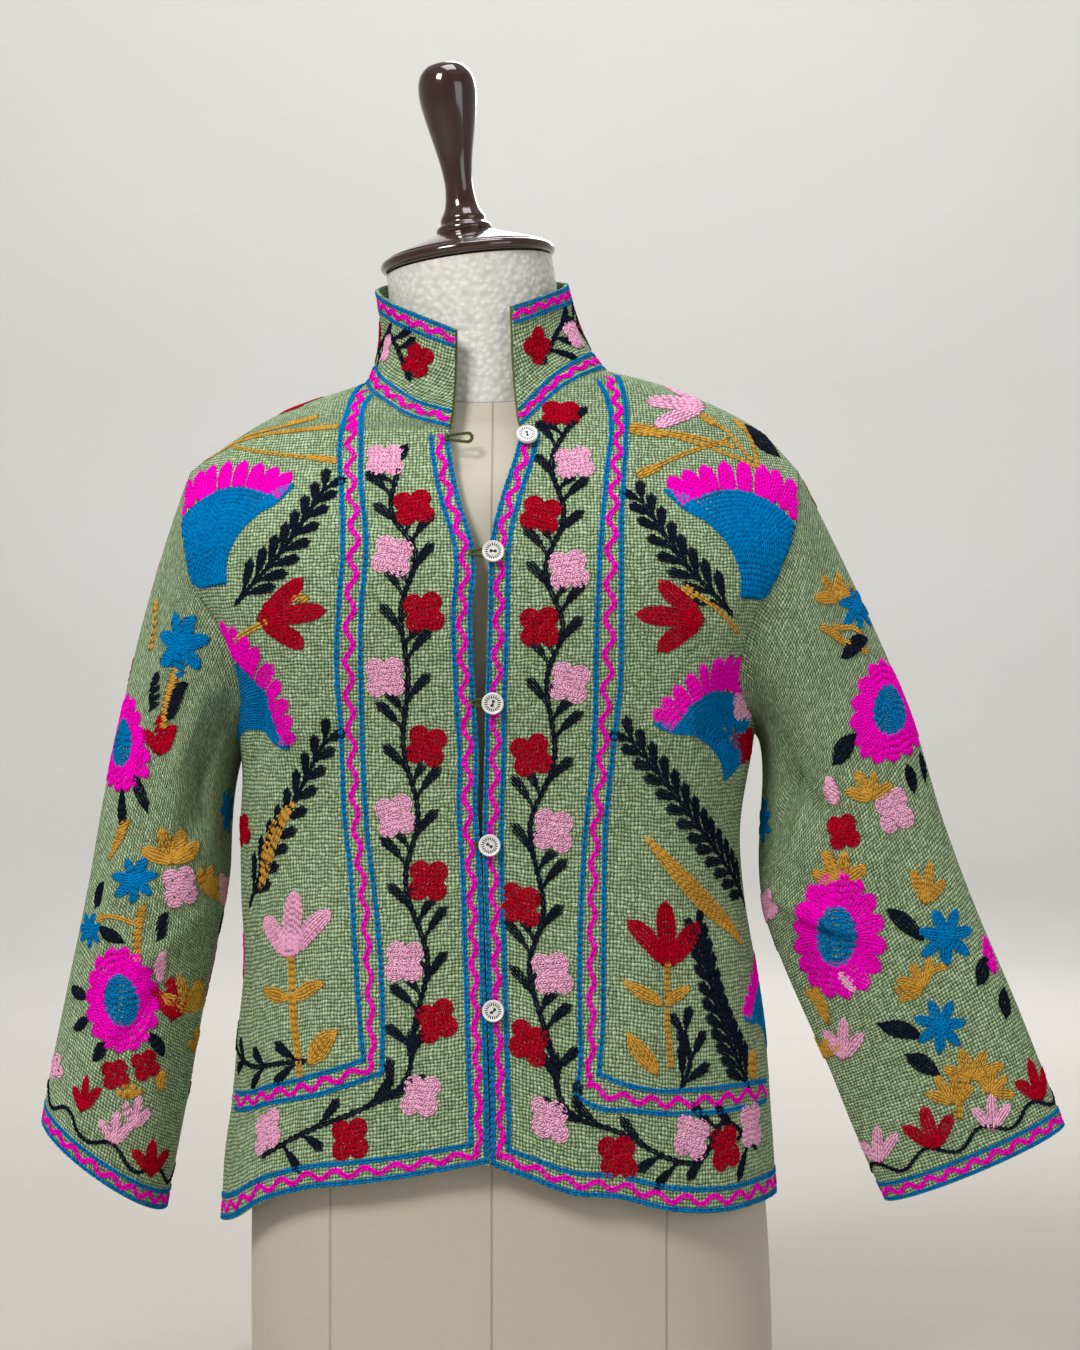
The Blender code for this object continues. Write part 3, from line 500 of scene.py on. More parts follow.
def seam_turn(share, side, back):
    """The turn at which a panel ends: its side seam, its armhole or its shoulder seam."""
    height = level(share, side)
    name = SIDES[side]
    rise = (1 - np.cos(np.pi * armhole_share(share))) / 2
    out = ARMHOLE.read(name, rise) * (2 * side - 1)
    seam_gap = HALF_GAP / BODY.read(name, height)
    straight = np.pi / 2 + (seam_gap if back else -seam_gap)
    open_share = np.clip(1 - (height - HEM_HEIGHT) / SLIT_LENGTH, 0, 1)
    if not back:
        straight = straight - SLIT_SPREAD / BODY.read(name, height) * open_share**1.5
    inside = (share > UNDERARM_SHARE + ON_LINE) & (share < TIP_SHARE - ON_LINE)
    return np.where(inside, turn_at(out, height, back), straight)


def settled(turn, height, share):
    """Rows below the underarm are drawn down to the hem's own line."""
    rest = np.clip(1 - share / UNDERARM_SHARE, 0, 1)
    return height + (both_sides(HEM, turn) - HEM_HEIGHT) * rest


def neckline_turn(side, height):
    """How far round from the front the neckline reaches a height."""
    turns = np.linspace(THROAT_TURN[side], SHOULDER_TURN, 80)
    return np.interp(height, NECKLINE.read(SIDES[side], turns), np.radians(turns))


def front(side, u, v):
    """A front panel's outer face, from its opening edge, u 0, to its seams, u 1."""
    name = SIDES[side]
    facing = 2 * side - 1
    height = level(v, side)
    edge = facing * np.arctan2(FRONT_EDGE.read(name, height), BODY.read("front", height))
    start = np.where(v > THROAT_SHARE - ON_LINE, neckline_turn(side, height), edge)
    turn = facing * (start + (seam_turn(v, side, False) - start) * u)
    point = body(turn, settled(turn, height, v))
    return armhole_gap(point, u > 1 - ON_LINE, v, -facing)


def back(u, v):
    """The back panel's outer face, from its left seams, u 0, to its right ones, u 1."""
    left = -seam_turn(v, 0, True)
    right = seam_turn(v, 1, True) - 2 * np.pi
    turn = left + (right - left) * u
    lift = np.clip((v - TIP_SHARE) / (1 - TIP_SHARE), 0, 1) ** 2
    height = settled(turn, level(v, u), v)
    height = height + (both_sides(NECKLINE, turn) - level(1 + 0 * v, u)) * lift
    point = body(turn, height)
    point = armhole_gap(point, u < ON_LINE, v, 1)
    return armhole_gap(point, u > 1 - ON_LINE, v, -1)


def armhole_gap(point, on_edge, v, facing):
    """Moves a panel's edge half a seam gap away from the sleeve."""
    beside = (v > UNDERARM_SHARE - ON_LINE) & (v < TIP_SHARE + ON_LINE) & on_edge
    point[..., 0] += np.where(beside, HALF_GAP * facing, 0)
    return point


def armhole(side, turn):
    """The armhole seam as a loop: turn 0 is the underarm, and the front comes first."""
    name = SIDES[side]
    facing = 2 * side - 1
    rise = (1 - np.cos(turn)) / 2
    low = UNDERARM_HEIGHT[side]
    height = low + (TIP_HEIGHT[side] - low) * rise
    out = ARMHOLE.read(name, rise) * facing
    before = facing * turn_at(out, height, False)
    behind = facing * turn_at(out, height, True)
    ends = np.minimum(rise, 1 - rise) < 1e-6
    around = np.where(ends, facing * np.pi / 2, np.where(np.sin(turn) > 0, before, behind))
    return body(around, height)


def sleeve(side, u, v):
    """A sleeve's outer face, round it with u and down it with v."""
    turn = 2 * np.pi * u
    sizes = SLEEVES[side].sizes(v)
    depth = np.where(np.sin(turn) > 0, sizes["front"], sizes["back"])
    degrees = np.mod(np.degrees(turn), 360)
    swell = 1 + fold_rise(SLEEVE_FOLDS[side], degrees, v, True) / depth
    x, z = (
        (sizes["outer_" + axis] + sizes["inner_" + axis]) / 2
        - (sizes["outer_" + axis] - sizes["inner_" + axis]) / 2 * np.cos(turn) * swell
        for axis in "xz"
    )
    y = -depth * np.sin(turn) * swell - SLEEVE_HANG_FORWARD * eased(v)
    share = eased(v / ARMHOLE_BLEND)[..., None]
    point = armhole(side, turn) * (1 - share) + np.stack([x, y, z], axis=-1) * share
    point[..., 0] += HALF_GAP * (2 * side - 1) * (1 - eased(v / ARMHOLE_BLEND))
    return point


def collar_turn(u):
    """The turn of the collar's foot: its columns meet the panels' rows and columns."""
    rows = THROAT_SHARE + (1 - THROAT_SHARE) * np.arange(NECK_ROWS + 1) / NECK_ROWS
    left = -neckline_turn(0, level(rows, 0))
    right = neckline_turn(1, level(rows, 1)) - 2 * np.pi
    behind = -np.pi / 2 - np.pi * np.arange(BACK_COLUMNS + 1) / BACK_COLUMNS
    turns = np.concatenate([left, behind, right[::-1]])
    return np.interp(u * COLLAR_COLUMNS, np.arange(len(turns)), turns)


def collar(u, v):
    """The collar's outer face, from its left front end, u 0, round the back, and up with v."""
    turn = collar_turn(u)
    foot = body(turn, both_sides(NECKLINE, turn))
    foot[..., 2] += SEAM_GAP
    top_start = math.radians(-COLLAR_TOP_TURN[0])
    top_end = math.radians(COLLAR_TOP_TURN[1]) - 2 * np.pi
    top_turn = top_start + (top_end - top_start) * u
    x = COLLAR_TOP_CENTRE[0] + COLLAR_TOP_HALF_WIDTH * np.sin(top_turn)
    y = COLLAR_TOP_CENTRE[1] - COLLAR_TOP_HALF_DEPTH * np.cos(top_turn)
    top = np.stack([x, y, COLLAR_TOP.read("height", u)], axis=-1)
    hollow = COLLAR_HOLLOW * np.sin(np.pi * np.clip(v, 0, 1) ** 0.75)
    return foot + (top - foot) * v[..., None] - outwards(turn) * hollow[..., None]


def inside_of(surface, sign, u, v, low=-0.1, high=1, step=0.004):
    """The direction from a surface to its inner side."""
    across = surface(np.clip(u + step, low, high), v) - surface(np.clip(u - step, low, high), v)
    along = surface(u, np.clip(v + step, 0, 1)) - surface(u, np.clip(v - step, 0, 1))
    return -sign * unit(np.cross(across, along))


def toward_armhole_middle(side, point):
    middle = (mixed(UNDERARM_HEIGHT, side) + mixed(TIP_HEIGHT, side)) / 2
    aim = np.stack([0 * point[..., 0], -point[..., 1], middle - point[..., 2]], axis=-1)
    return unit(aim)


def body_inside(turn, height):
    """The body's inner direction at a seam, the same for the pieces on both its sides."""
    step = 0.003
    around = body(turn + step, height) - body(turn - step, height)
    upwards = body(turn, height + step) - body(turn, height - step)
    return -unit(np.cross(around, upwards))


def panel_inside(surface, sign, sides, u, v):
    """A panel's inner direction, turned at its seams so that its neighbours fit it."""
    point = surface(u, v)
    aim = inside_of(surface, sign, u, v)
    beside = (v > UNDERARM_SHARE - ON_LINE) & (v < TIP_SHARE + ON_LINE)
    for side, on_edge in sides(u):
        facing = 2 * side - 1
        into_body = np.array([-facing, 0.0, 0.0])
        rim = unit(toward_armhole_middle(side, point) + BODY_RIM_LEAN * into_body)
        seam = body_inside(np.full_like(u, facing * np.pi / 2), point[..., 2])
        aim = np.where((on_edge & beside)[..., None], rim, aim)
        aim = np.where((on_edge & ~beside)[..., None], seam, aim)
    return aim


def sleeve_inside(side, u, v):
    facing = 2 * side - 1
    aim = inside_of(partial(sleeve, side), -facing, u, v, -1, 2)
    out_of_body = np.array([facing, 0.0, 0.0])
    rim = unit(toward_armhole_middle(side, sleeve(side, u, v)) + SLEEVE_RIM_LEAN * out_of_body)
    return np.where((v < ON_LINE)[..., None], rim, aim)


def collar_inside(u, v):
    aim = inside_of(collar, -1, u, v)
    flat = aim.copy()
    flat[..., 2] = 0
    return np.where((v < ON_LINE)[..., None], unit(flat), aim)


def form_ring(turn, height):
    sizes = FORM.sizes(height)
    under = height + FORM_UNDER_SHOULDER
    room = {"left": FORM_IN_SIDE, "right": FORM_IN_SIDE, "front": FORM_IN_FRONT, "back": FORM_IN_FRONT}
    for name, inset in room.items():
        jacket = BODY.read(name, under) - inset
        sizes[name] = (sizes[name] ** -SOFT_MEETING + jacket**-SOFT_MEETING) ** (-1 / SOFT_MEETING)
    power = np.minimum(FORM_POWER, BODY.read("power", under))
    near_top = eased((height - FORM_DIP_START) / (FORM_SHOULDER_TOP - FORM_DIP_START))
    dip = FORM_THROAT_DIP * near_top * np.maximum(np.cos(turn), 0) ** 2
    return ring(turn, height - dip, power=power, **sizes)


def neck_ring(turn, share):
    low = np.array(NECK_SEAM_CENTRE)
    centre = low + (np.array(NECK_TOP_CENTRE) - low) * share[..., None]
    radius = NECK_SEAM_RADIUS + (NECK_TOP_RADIUS - NECK_SEAM_RADIUS) * share
    x = radius * np.sin(turn)
    y = -radius * np.cos(turn)
    tilt = NECK_SEAM_TILT * (1 - share) * y + math.tan(-CAP_LEAN) * share * x
    return centre + np.stack([x, y, tilt], axis=-1)


def form_torso(u, v):
    """The form's skin: rings up to the shoulders, then a sweep in to the neck seam."""
    turn = 2 * np.pi * u
    height = FORM_SHOULDER_TOP * np.minimum(v / FORM_BODY_SHARE, 1) ** FORM_ROW_SPREAD
    sweep = eased((v - FORM_BODY_SHARE) / (1 - FORM_BODY_SHARE))[..., None]
    shoulder = form_ring(turn, height)
    seam = neck_ring(turn, 0 * turn)
    seam[..., 2] -= SEAM_GAP
    return shoulder * (1 - sweep) + seam * sweep


def form_neck(u, v):
    return neck_ring(2 * np.pi * u, v)


def on_front(x, height, out):
    """A point in front of the jacket's face at x and a height, and the face's direction."""
    x = np.atleast_1d(np.asarray(x, dtype=float))
    height = np.atleast_1d(np.asarray(height, dtype=float)) + 0 * x
    depth = BODY.read("front", height)
    turn = np.arctan2(x, depth)
    away = -body_inside(turn, height)
    return body(turn, height) + away * out, away


class Nodes:
    """A material's node tree, written as plain sums."""

    def __init__(self, name, roughness=0.9, **constants):
        self.made = bpy.data.materials.new(name)
        self.made.use_nodes = True
        self.tree = self.made.node_tree
        self.shader = self.tree.nodes["Principled BSDF"]
        self.shader.inputs["Roughness"].default_value = roughness
        for socket, value in constants.items():
            self.shader.inputs[socket.replace("_", " ")].default_value = value

    def node(self, kind, settings=None, **inputs):
        made = self.tree.nodes.new(kind)
        for name, value in (settings or {}).items():
            setattr(made, name, value)
        for name, value in inputs.items():
            self.put(made.inputs[name], value)
        return made

    def put(self, socket, value):
        if isinstance(value, Sum):
            self.tree.links.new(value.socket, socket)
        elif isinstance(value, tuple) and len(value) == 3 and len(socket.default_value) == 4:
            socket.default_value = (*value, 1)
        else:
            socket.default_value = value

    def math(self, operation, *values):
        made = self.node("ShaderNodeMath", {"operation": operation})
        for socket, value in zip(made.inputs, values):
            self.put(socket, value)
        return Sum(self, made.outputs[0])

    def coordinates(self):
        return Sum(self, self.node("ShaderNodeTexCoord").outputs["Object"])

    def split(self, place):
        """A place's coordinates one by one."""
        parts = self.node("ShaderNodeSeparateXYZ", Vector=place)
        return [Sum(self, socket) for socket in parts.outputs]

    def attribute(self, name):
        return Sum(self, self.node("ShaderNodeAttribute", {"attribute_name": name}).outputs["Fac"])

    def noise(self, place, scale, detail=2.0):
        made = self.node("ShaderNodeTexNoise", Vector=place, Scale=scale, Detail=detail)
        return Sum(self, made.outputs["Fac"])

    def colour_mix(self, share, first, second):
        made = self.node("ShaderNodeMix", {"data_type": "RGBA"}, Factor=share)
        self.put(made.inputs[6], first)
        self.put(made.inputs[7], second)
        return Sum(self, made.outputs[2])

    def bump(self, height, distance, strength=1.0):
        made = self.node("ShaderNodeBump", Height=height, Distance=distance, Strength=strength)
        self.put(self.shader.inputs["Normal"], Sum(self, made.outputs[0]))

    def colour(self, share, first, second):
        """The base colour, between two by a share."""
        self.put(self.shader.inputs["Base Color"], self.colour_mix(share, first, second))


class Sum:
    """One socket, or a sum made from several."""

    def __init__(self, nodes, socket):
        self.nodes = nodes
        self.socket = socket

    def __add__(self, other):
        return self.nodes.math("ADD", self, other)

    def __sub__(self, other):
        return self.nodes.math("SUBTRACT", self, other)

    def __mul__(self, other):
        return self.nodes.math("MULTIPLY", self, other)

    def __rsub__(self, other):
        return self.nodes.math("SUBTRACT", other, self)

    __radd__ = __add__
    __rmul__ = __mul__

    def sine(self):
        return self.nodes.math("SINE", self)

    def absolute(self):
        return self.nodes.math("ABSOLUTE", self)

    def power(self, other):
        return self.nodes.math("POWER", self, other)

    def clamped(self):
        return self.nodes.math("MINIMUM", self.nodes.math("MAXIMUM", self, 0.0), 1.0)

    def near(self, middle, width):
        """1 at a middle value, down to 0 at a width away from it."""
        return (1.0 - (self - middle).absolute() * (1 / width)).clamped()


WEAVE_PITCH = 0.0024
WEAVE_WOBBLE = 0.0030
THREAD_ROUNDING = 0.55
THREAD_DIP = 0.45


def weave_material():
    """A coarse sage-green basket weave on the piece's own flat coordinates in metres, with painted shade in
    its gaps.
    """
    made = Nodes("sage_weave", 0.95, Sheen_Weight=0.06, Sheen_Roughness=0.5, Specular_IOR_Level=0.12)
    place = Sum(made, made.node("ShaderNodeUVMap", {"uv_map": "flat"}).outputs[0])
    x, y = made.split(place)[:2]
    x = x + made.noise(place, 110.0, 1.0) * WEAVE_WOBBLE
    y = y + made.noise(place, 85.0, 1.0) * WEAVE_WOBBLE
    turn = math.pi / WEAVE_PITCH
    warp = (x * turn).sine()
    weft = (y * turn).sine()
    over = made.math("GREATER_THAN", (warp * weft), 0.0)
    cross_x = made.math("COSINE", x * turn).absolute()
    cross_y = made.math("COSINE", y * turn).absolute()
    upper = warp.absolute().power(THREAD_ROUNDING) * (1.0 - cross_y * cross_y * THREAD_DIP)
    lower = weft.absolute().power(THREAD_ROUNDING) * (1.0 - cross_x * cross_x * THREAD_DIP)
    height = over * upper + (1.0 - over) * lower
    slub = made.noise(place, 420.0)
    cells = [made.math("FLOOR", axis * (1 / WEAVE_PITCH)) for axis in (x, y)]
    cell = Sum(made, made.node("ShaderNodeCombineXYZ", X=cells[0], Y=cells[1]).outputs[0])
    grain = made.node("ShaderNodeTexWhiteNoise", {"noise_dimensions": "2D"}, Vector=cell)
    grain = Sum(made, grain.outputs[0])
    share = (slub * 0.9 + grain * 0.48 - 0.27).clamped()
    thread = made.colour_mix(share, (0.215, 0.330, 0.160), (0.660, 0.860, 0.525))
    # Painted shade: where the weave lies low, in the gaps between the threads, it is painted dark and its
    # raised threads light; slubs and grain vary it
    tone_and_painted_shading = (height * 2.0 - 0.85 + slub * 0.5 + grain * 0.20).clamped()
    made.colour(tone_and_painted_shading, (0.050, 0.080, 0.038), thread)
    made.bump(height + slub * 0.8, 0.0014)
    return made.made


def yarn_material(name, dark, light):
    """Wool yarn whose stitches differ a little in tone, with painted shade low on each link and a painted
    highlight on its top.
    """
    made = Nodes(name, 0.95, Specular_IOR_Level=0.02)
    fibres = made.noise(made.coordinates(), 900.0)
    made.colour((made.attribute("tone_and_painted_shading") * 0.75 + fibres * 0.5 - 0.12).clamped(), dark, light)
    made.bump(fibres, 0.0004, 0.5)
    return made.made


def plain_material(name, colour, roughness, grain, scale=600.0):
    made = Nodes(name, roughness)
    fine = made.noise(made.coordinates(), scale)
    made.colour(fine, tuple(value * (1 - grain) for value in colour), colour)
    made.bump(fine, 0.0002, 0.6)
    return made.made


def mesh_object(name, bm, finish, slot=None, smooth_angle=50):
    mesh = bpy.data.meshes.new(name)
    bm.to_mesh(mesh)
    bm.free()
    mesh.shade_smooth()
    mesh.set_sharp_from_angle(angle=math.radians(smooth_angle))
    mesh.materials.append(finish)
    obj = bpy.data.objects.new(name, mesh)
    bpy.context.collection.objects.link(obj)
    if slot:
        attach(obj, "root")
    return obj


def face_outwards(bm):
    bmesh.ops.recalc_face_normals(bm, faces=bm.faces[:])
    if bm.calc_volume(signed=True) < 0:
        bmesh.ops.reverse_faces(bm, faces=bm.faces[:])


def grid(columns, rows, tube):
    """A grid that remembers each point's place, u across it and v along it."""
    bm = bmesh.new()
    across = bm.verts.layers.float.new("u")
    along = bm.verts.layers.float.new("v")
    bmesh.ops.create_grid(bm, x_segments=columns, y_segments=rows, size=0.5)
    for vert in bm.verts:
        vert[across] = round((vert.co.x + 0.5) * columns) / columns
        vert[along] = round((vert.co.y + 0.5) * rows) / rows
    flat = bm.loops.layers.uv.new("flat")
    for face in bm.faces:
        for corner in face.loops:
            corner[flat].uv = (corner.vert[across], corner.vert[along])
    if tube:
        for vert in bm.verts:
            turn = 2 * math.pi * vert[across]
            vert.co = (math.cos(turn), math.sin(turn), vert[along])
        bmesh.ops.remove_doubles(bm, verts=bm.verts[:], dist=ON_LINE)
    return bm, across, along, flat


def set_points(verts, across, along, surface):
    verts = list(verts)
    u = np.array([vert[across] for vert in verts])
    v = np.array([vert[along] for vert in verts])
    for vert, point in zip(verts, surface(u, v) + np.array(PLACE)):
        vert.co = point


def lay_flat(bm, flat, chart):
    """Turns the corners' places from shares into metres along and across the piece."""
    corners = [corner for face in bm.faces for corner in face.loops]
    shares = np.array([corner[flat].uv[:] for corner in corners])
    metres = chart.flatten(shares[:, 0], shares[:, 1])
    for corner, place in zip(corners, metres):
        corner[flat].uv = place


def cloth(name, columns, rows, outer, inside, chart, finish, slot, tube=False, wall=CLOTH, depth=0.0):
    """A cloth wall: a grid laid on a surface, extruded to its inner face."""
    bm, across, along, flat = grid(columns, rows, tube)
    lifted = bmesh.ops.extrude_face_region(bm, geom=bm.faces[:])["geom"]
    inner = {item for item in lifted if isinstance(item, bmesh.types.BMVert)}
    outer_verts = [vert for vert in bm.verts if vert not in inner]
    set_points(outer_verts, across, along, lambda u, v: outer(u, v) + inside(u, v) * depth)
    set_points(inner, across, along, lambda u, v: outer(u, v) + inside(u, v) * (depth + wall))
    if chart:
        lay_flat(bm, flat, chart)
    face_outwards(bm)
    made = mesh_object(f"{name}_cloth", bm, finish, slot, 60)
    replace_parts(made, name)
    return made


def blended(table, rows, columns):
    """A table's values between its rows and its columns."""
    low = np.clip(rows.astype(int), 0, table.shape[0] - 2)
    left = np.clip(columns.astype(int), 0, table.shape[1] - 2)
    up = rows - low
    over = np.clip(columns - left, 0, 1)
    first = table[low, left] * (1 - over) + table[low, left + 1] * over
    second = table[low + 1, left] * (1 - over) + table[low + 1, left + 1] * over
    return first * (1 - up) + second * up


def runs(path):
    """How far along a path each of its points lies."""
    return np.concatenate([[0], np.cumsum(np.linalg.norm(np.diff(path, axis=0), axis=-1))])


def at_runs(path, run, places):
    return np.stack([np.interp(places, run, column) for column in path.T], axis=-1)


def leftwards(path):
    """A path's own direction at each point, and the direction to its left."""
    ahead = unit(np.gradient(path, axis=0))
    return ahead, np.column_stack([-ahead[:, 1], ahead[:, 0]])


# What it costs a place of a chart, in square pixels, to face away from the camera
HIDDEN_COST = 90000


class Chart:
    """A piece of cloth laid flat: metres across it and along it, from a middle column."""

    ROWS = 281
    COLUMNS = 241
    PLACES = 400

    def __init__(self, surface, middle, facing, low=0.0, high=1.0, down=False):
        self.surface = surface
        self.facing = facing
        self.u = np.linspace(low, high, self.COLUMNS)
        self.v = np.linspace(0, 1, self.ROWS)
        u, v = np.meshgrid(self.u, self.v)
        points = surface(u.ravel(), v.ravel()).reshape(self.ROWS, self.COLUMNS, 3)
        self.points = points + np.array(PLACE)
        steps = np.linalg.norm(np.diff(points, axis=1), axis=-1)
        run = np.concatenate([np.zeros((self.ROWS, 1)), np.cumsum(steps, axis=1)], axis=1)
        column = int(np.argmin(np.abs(self.u - middle)))
        self.across = (run - run[:, column : column + 1]) * facing
        if middle == 0.0:
            self.across = self.across + points[:, :1, 0]
        self.along = runs(points[:, column])
        self.down = down
        if down:
            self.along = self.along[-1] - self.along
        self.x_grid = np.linspace(self.across.min(), self.across.max(), self.PLACES)
        columns = self.u[::facing]
        self.table = np.array([np.interp(self.x_grid, row[::facing], columns) for row in self.across])

    def flatten(self, u, v):
        """Metres on the flat piece, at shares across it and along it."""
        columns = (u - self.u[0]) / (self.u[-1] - self.u[0]) * (self.COLUMNS - 1)
        across = blended(self.across, v * (self.ROWS - 1), columns)
        return np.stack([across, np.interp(v, self.v, self.along)], axis=-1)

    def shares(self, x, y, margin=0.0):
        """The shares at metres on the flat piece, and whether they lie on it."""
        order = slice(None, None, -1 if self.down else 1)
        v = np.interp(y, self.along[order], self.v[order])
        columns = (x - self.x_grid[0]) / (self.x_grid[-1] - self.x_grid[0]) * (self.PLACES - 1)
        held = (x > np.interp(v, self.v, self.across.min(axis=1)) + margin)
        held &= x < np.interp(v, self.v, self.across.max(axis=1)) - margin
        held &= (y > self.along.min() + margin) & (y < self.along.max() - margin)
        return blended(self.table, v * (self.ROWS - 1), columns), v, held

    def spot(self, x, y):
        return self.surface(*self.shares(x, y)[:2]) + np.array(PLACE)

    def frame(self, x, y):
        """The cloth's face at metres on the flat piece: its place, rightwards, upwards and outwards."""
        step = 0.0012
        right = unit(self.spot(x + step, y) - self.spot(x - step, y))
        up = self.spot(x, y + step) - self.spot(x, y - step)
        out = unit(np.cross(right, up))
        return self.spot(x, y), right, np.cross(out, right), out

    def at_pixels(self, *pixels):
        """Metres on the flat piece at the places that the photograph shows at these pixels."""
        points = self.points.reshape(-1, 3)
        scale = CAMERA_DISTANCE / (CAMERA_DISTANCE + points[:, 1] - CAMERA_AIM_Y)
        px = PICTURE[0] / 2 + (points[:, 0] - CAMERA[0]) / PIXEL * scale
        py = PICTURE[1] / 2 - (points[:, 2] - CAMERA[2]) / PIXEL * scale
        unseen = np.where(self.seen().ravel(), 0, HIDDEN_COST)
        places = [np.argmin((px - x) ** 2 + (py - y) ** 2 + unseen) for x, y in pixels]
        return np.array([(self.across.flat[place], self.along[place // self.COLUMNS]) for place in places])

    def seen(self):
        """Which places of the piece face the camera."""
        right = np.gradient(self.points, axis=1) * self.facing
        up = np.gradient(self.points, axis=0) * (-1 if self.down else 1)
        out = np.cross(right, up)
        return np.einsum("ijk,ijk->ij", out, np.array(CAMERA) - self.points) > 0


# The camera stands level in front of the jacket, and the picture's sizes are the photograph's
PICTURE = (1080, 1350)
PIXEL = 0.0007
CAMERA = (-0.0096, -1.8929, 0.5355)
CAMERA_DISTANCE = 1.9
CAMERA_AIM_Y = CAMERA[1] + CAMERA_DISTANCE
SENSOR = 36.0


def build_camera():
    data = bpy.data.cameras.new("camera")
    data.sensor_fit = "VERTICAL"
    data.sensor_height = SENSOR
    data.lens = SENSOR * CAMERA_DISTANCE / (PICTURE[1] * PIXEL)
    made = bpy.data.objects.new("camera", data)
    made.location = CAMERA
    made.rotation_euler = (math.pi / 2, 0, 0)
    bpy.context.collection.objects.link(made)
    bpy.context.scene.camera = made


def area_light(name, place, aim, size, power, colour=(1, 1, 1)):
    data = bpy.data.lights.new(name, "AREA")
    data.shape = "RECTANGLE"
    data.size, data.size_y = size
    data.energy = power
    data.color = colour
    made = bpy.data.objects.new(name, data)
    made.location = place
    made.rotation_mode = "QUATERNION"
    made.rotation_quaternion = (Vector(aim) - Vector(place)).to_track_quat("-Z", "Y")
    bpy.context.collection.objects.link(made)


def wall_material():
    """Pale plaster, with painted shade: a little darker on the floor near the middle, round the form."""
    made = Nodes("pale_wall", 0.95, Specular_IOR_Level=0.1)
    place = made.coordinates()
    x, y = made.split(place)[:2]
    out = made.math("SQRT", x * x + y * y)
    patches = made.noise(place, 1.6, 4.0) * 0.25 - 0.12
    # Painted shade: darker towards the middle of the floor, round the form's foot; the noise patches are the
    # plaster's own mottling
    made.colour((out * (1 / 5.6) + patches).clamped(), (0.45, 0.425, 0.38), (0.605, 0.595, 0.575))
    return made.made


def spun(bm, outline, steps, near):
    """Turns an outline of radii and heights round the upright axis."""
    verts = [bm.verts.new((radius, 0, height)) for radius, height in outline]
    for first, second in zip(verts, verts[1:]):
        bm.edges.new((first, second))
    whole = {"cent": (0, 0, 0), "axis": (0, 0, 1), "angle": 2 * math.pi, "use_merge": True}
    bmesh.ops.spin(bm, geom=bm.verts[:] + bm.edges[:], steps=steps, **whole)
    bmesh.ops.remove_doubles(bm, verts=bm.verts[:], dist=near)


STAGE_OUTLINE = """
0 0
2 0
3.4 0
4.3 0.12
5 0.55
5.4 1.3
5.5 2.4
5.5 6
"""


def build_stage():
    """A pale round floor that sweeps up to a pale wall far behind."""
    bm = bmesh.new()
    spun(bm, numbers(STAGE_OUTLINE), 64, 1e-5)
    bmesh.ops.recalc_face_normals(bm, faces=bm.faces[:])
    bmesh.ops.reverse_faces(bm, faces=bm.faces[:])
    mesh_object("backdrop", bm, wall_material(), smooth_angle=180)
    world = bpy.data.worlds.new("studio")
    world.use_nodes = True
    background = world.node_tree.nodes["Background"]
    background.inputs["Color"].default_value = (0.93, 0.95, 1.0, 1)
    background.inputs["Strength"].default_value = 0.35
    bpy.context.scene.world = world
    bpy.context.scene.view_settings.view_transform = "Standard"
    area_light("key", (-1.5, -2.2, 2.7), (0, 0, 0.5), (0.9, 0.9), 88.0, (1.0, 0.985, 0.96))
    area_light("fill", (2.2, -2.2, 1.5), (0, 0, 0.5), (1.6, 1.6), 13.0, (0.96, 0.98, 1.0))
    area_light("top", (0.2, -0.3, 3.4), (0, 0, 0.5), (1.4, 1.4), 34.0)
    area_light("wall", (0.0, 3.2, 3.4), (0, 5.2, 1.0), (3.0, 1.0), 72.0)
    area_light("rear", (0.6, 2.6, 2.2), (0, 0, 0.5), (1.6, 1.6), 50.0)


def smooth_path(points, count):
    """A finer path through the points, on a smooth curve."""
    points = np.array(points, dtype=float)
    keys = np.arange(len(points), dtype=float)
    places = np.linspace(0, keys[-1], count)
    return np.stack([curve(keys, column, places) for column in points.T], axis=-1)


def sweep(bm, path, radius, sides):
    """A round strand along a path."""
    path = np.array(path, dtype=float)
    ahead = unit(np.gradient(path, axis=0))
    side = np.cross(ahead[0], (0.3, 0.2, 0.9))
    turns = 2 * math.pi * np.arange(sides) / sides
    rings = []
    for place, way in zip(path, ahead):
        side = side - way * np.dot(side, way)
        side = side / np.linalg.norm(side)
        up = np.cross(way, side)
        rings.append([bm.verts.new(place + radius * (side * math.cos(t) + up * math.sin(t))) for t in turns])
    for first, second in zip(rings, rings[1:]):
        for i in range(sides):
            j = (i + 1) % sides
            bm.faces.new((first[i], first[j], second[j], second[i]))
    bm.faces.new(rings[0][::-1])
    bm.faces.new(rings[-1])


def turned(bm, outline, steps, place):
    """A solid turned round its own upright axis, then put in its place."""
    spun(bm, [(0, outline[0][1]), *outline, (0, outline[-1][1])], steps, 1e-6)
    face_outwards(bm)
    locals_x = bm.verts.layers.float.new("local_x")
    locals_y = bm.verts.layers.float.new("local_y")
    for vert in bm.verts:
        vert[locals_x] = vert.co.x
        vert[locals_y] = vert.co.y
    bmesh.ops.transform(bm, matrix=place, verts=bm.verts[:])


